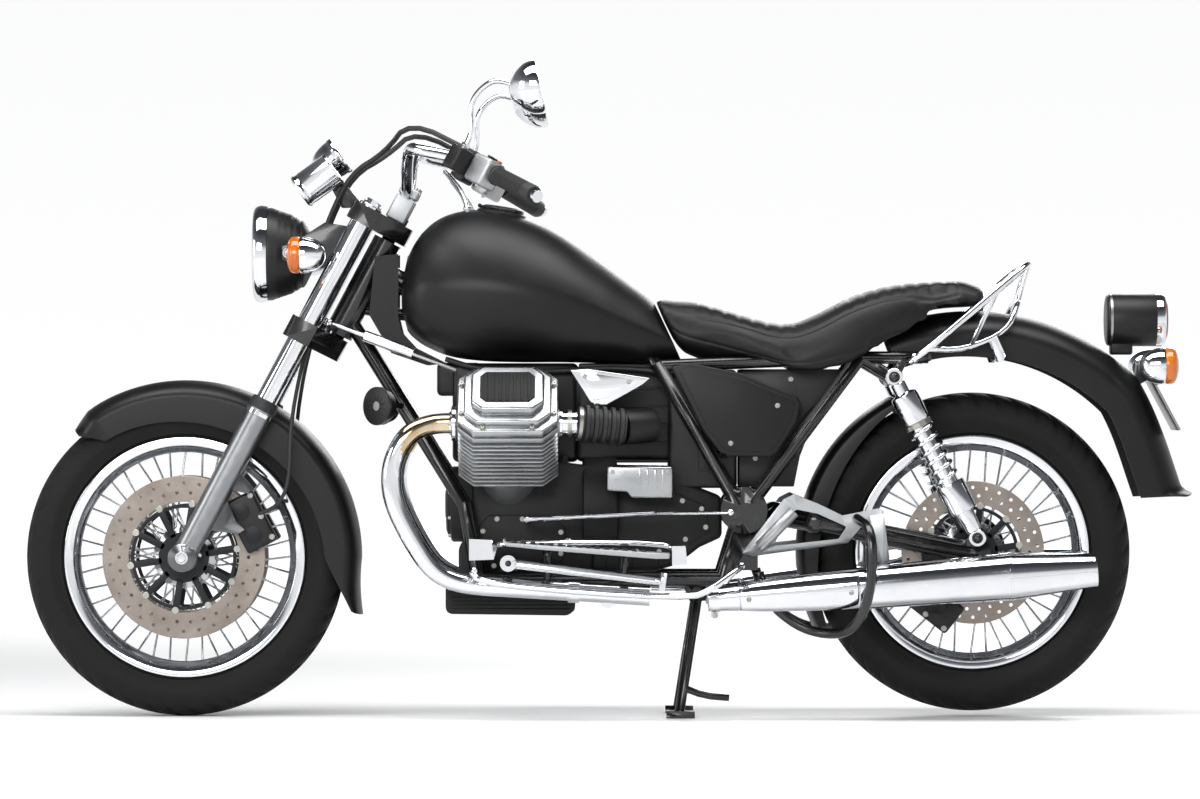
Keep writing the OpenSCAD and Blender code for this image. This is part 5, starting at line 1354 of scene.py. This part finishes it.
fork = []
for side in (1, -1):
    stanchion = turned("stanchion", [(0, 277), (21.4, 277), (21.4, 787), (20, 788.8), (0, 788.8)],
                       front_axle, up, 48)
    fork.append(painted(on_leg(stanchion, side), chrome))
fitted(joined("stanchions", fork), "steering", "fork_alloy", "fork_tubes")
trim = [softened("fork_legs", "fork_leg_castings", fork_alloy)]
for side in (1, -1):
    for profile, made in (([(22, 330), (28, 330), (29, 331), (29, 344), (26, 352), (22, 353),
                            (22, 330)], soft_rubber),
                          ([(26, 318), (28.4, 318), (28.4, 326), (26, 326), (26, 318)], chrome)):
        trim.append(painted(on_leg(turned("seal", profile, front_axle, up, 48), side), made))
    trim.append(screw(in_fork((side * 132, 0, 0)), (side, 0, 0), 20, chrome))
    trim.append(screw(in_fork((side * 100, 26, 20)), lean @ Vector((0, 1, 0)), 8, zinc, False))
fitted(joined("fork_legs_set", trim), "steering", "fork_alloy", "fork_legs")

clamps = [softened("fork_clamps", "yokes", black_enamel)]
for side in (1, -1):
    cap = turned("fork_cap", [(0, 789), (17, 789), (17, 794), (12, 795), (12, 800), (0, 800)],
                 front_axle, up, 6, 20)
    clamps.append(painted(on_leg(cap, side), chrome))
fitted(joined("yoke_set", clamps), "steering", "black_enamel", "fork_clamps")


# ---------- Wheels ----------
# Plated steel rims are laced with stainless spokes to cast hubs. Each rim is a rolled channel.

# stainless spokes and cast hubs: a pale brushed metal
stainless = finish("brushed_stainless_steel", "#a9abae", "#bcbec1", 1.0, (0.2, 0.32), 0.7, 0.01)


def rim(name, centre, r, w):
    """A rolled channel with a well in its middle and a lip at each edge."""
    seat, h = r - 12.5, 0.36 * w + 2
    outer = [(r, h + 3.4), (r, h + 1), (r - 3, h), (seat - 0.5, h - 3), (seat - 0.5, 0.2 * w),
             (seat - 7, 0.17 * w), (seat - 14, 0.12 * w)]
    under = [(r - 4.2, -h - 4), (seat - 4, -h - 1), (seat - 5, -h), (seat - 5, -0.24 * w),
             (seat - 8, -0.205 * w), (seat - 15, -0.16 * w), (seat - 18, -0.13 * w), (seat - 18.2, 0)]
    far_under = [(a, -b) for a, b in reversed(under[:-1])]
    profile = outer + [(a, -b) for a, b in reversed(outer)] + [(r - 0.8, -h - 4)] + under + far_under
    profile += [(r - 0.8, h + 4), outer[0]]
    return painted(turned(name, profile, centre, (1, 0, 0), 160, 40), chrome)


fitted(rim("front_rim_plated", front_axle, 238, 110), "front_wheel", "chrome", "front_rim")
fitted(rim("rear_rim_plated", rear_axle, 231, 140), "rear_wheel", "chrome", "rear_rim")

for end in ("front", "rear"):
    fitted(softened(end + "_hub", end + "_hub_and_spokes", stainless), end + "_wheel", "spoke_steel",
           end + "_hub")


# ---------- Frame, stands and rails ----------
# The cradle, backbone and swinging arm are welded steel tube in gloss black stove enamel. The guard
# rails and pedals are plated, and the footpegs are cast alloy.

for node, name, body, slot, made in [
    ("frame", "welded_frame", "chassis", "black_enamel", black_enamel),
    ("swingarm", "swinging_arm", "chassis", "black_enamel", black_enamel),
    ("neck_covers", "neck_cover_pair", "chassis", "satin_black", satin_black),
    ("rear_guards", "guard_loops", "chassis", "black_enamel", black_enamel),
    ("grab_rail", "passenger_rail", "chassis", "chrome", chrome),
    ("lower_rails", "step_rails", "chassis", "chrome", chrome),
    ("foot_pedals", "pedal_set", "chassis", "chrome", chrome),
    ("passenger_pegs", "passenger_peg_castings", "chassis", "cast_alloy", cast_alloy),
    ("damper_tube", "damper_body", "damper_tube", "chrome", chrome),
    ("damper_rod", "damper_shaft", "damper_rod", "chrome", chrome),
    ("side_stand", "side_stand_leg", "side_stand", "chrome", chrome),
    ("centre_stand", "centre_stand_legs", "centre_stand", "black_enamel", black_enamel),
    ("filler_lid", "filler_cap", "filler_lid", "satin_black", satin_black),
]:
    fitted(softened(node, name, made), body, slot, node)


# ---------- Air box, battery and wiring ----------
# Black moulded boxes fill the frame under the tank and seat, with the splash plates ahead of the rear
# tyre. The wiring loom is taped to them.

bay = [
    block("air_box", (0, 94, 284), (130, 200, 190), 14, None, 4),
    block("coil_box", (0, -124, 286), (104, 250, 196), 12, None, 4),
    block("front_box", (0, -236, 352), (84, 88, 66), 10, None, 4),
    block("battery_box", (0, 246, 254), (172, 136, 234), 10, None, 4),
    block("air_box_lid", (0, 96, 377), (120, 190, 14), 5, None, 3),
]
for side in (1, -1):
    bay.append(plate("splash_plate", [(318, 176), (318, 372), (548, 372), (506, 330), (462, 262),
                                      (438, 200), (426, 140), (318, 140)], side * 84, 5, 1.6))
    bay.append(plate("battery_strap", [(238, 170), (238, 366), (262, 366), (262, 170)], side * 87.4, 4,
                     1.4))
    for z in (190, 226, 262, 298, 334):
        bay.append(block("air_rib", (side * 66, 96, z), (4, 170, 6), 1.6, None, 2))
for piece in bay:
    painted(piece, black_plastic)
for side in (1, -1):
    wiring = [Vector((side * 58, -262, 392)), Vector((side * 70, -200, 372)),
              Vector((side * 64, -60, 366)), Vector((side * 74, 60, 376)),
              Vector((side * 92, 180, 366)), Vector((side * 92, 250, 350)),
              Vector((side * 90, 300, 300))]
    bay.append(painted(tube("wiring", eased(wiring, 2), 11, 12), soft_rubber))
    for y, z in ((336, 352), (420, 352), (350, 196)):
        bay.append(screw((side * 86.8, y, z), (side, 0, 0), 8, zinc, False))
filling = joined("air_box_and_electrics", bay)
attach(filling, "chassis")
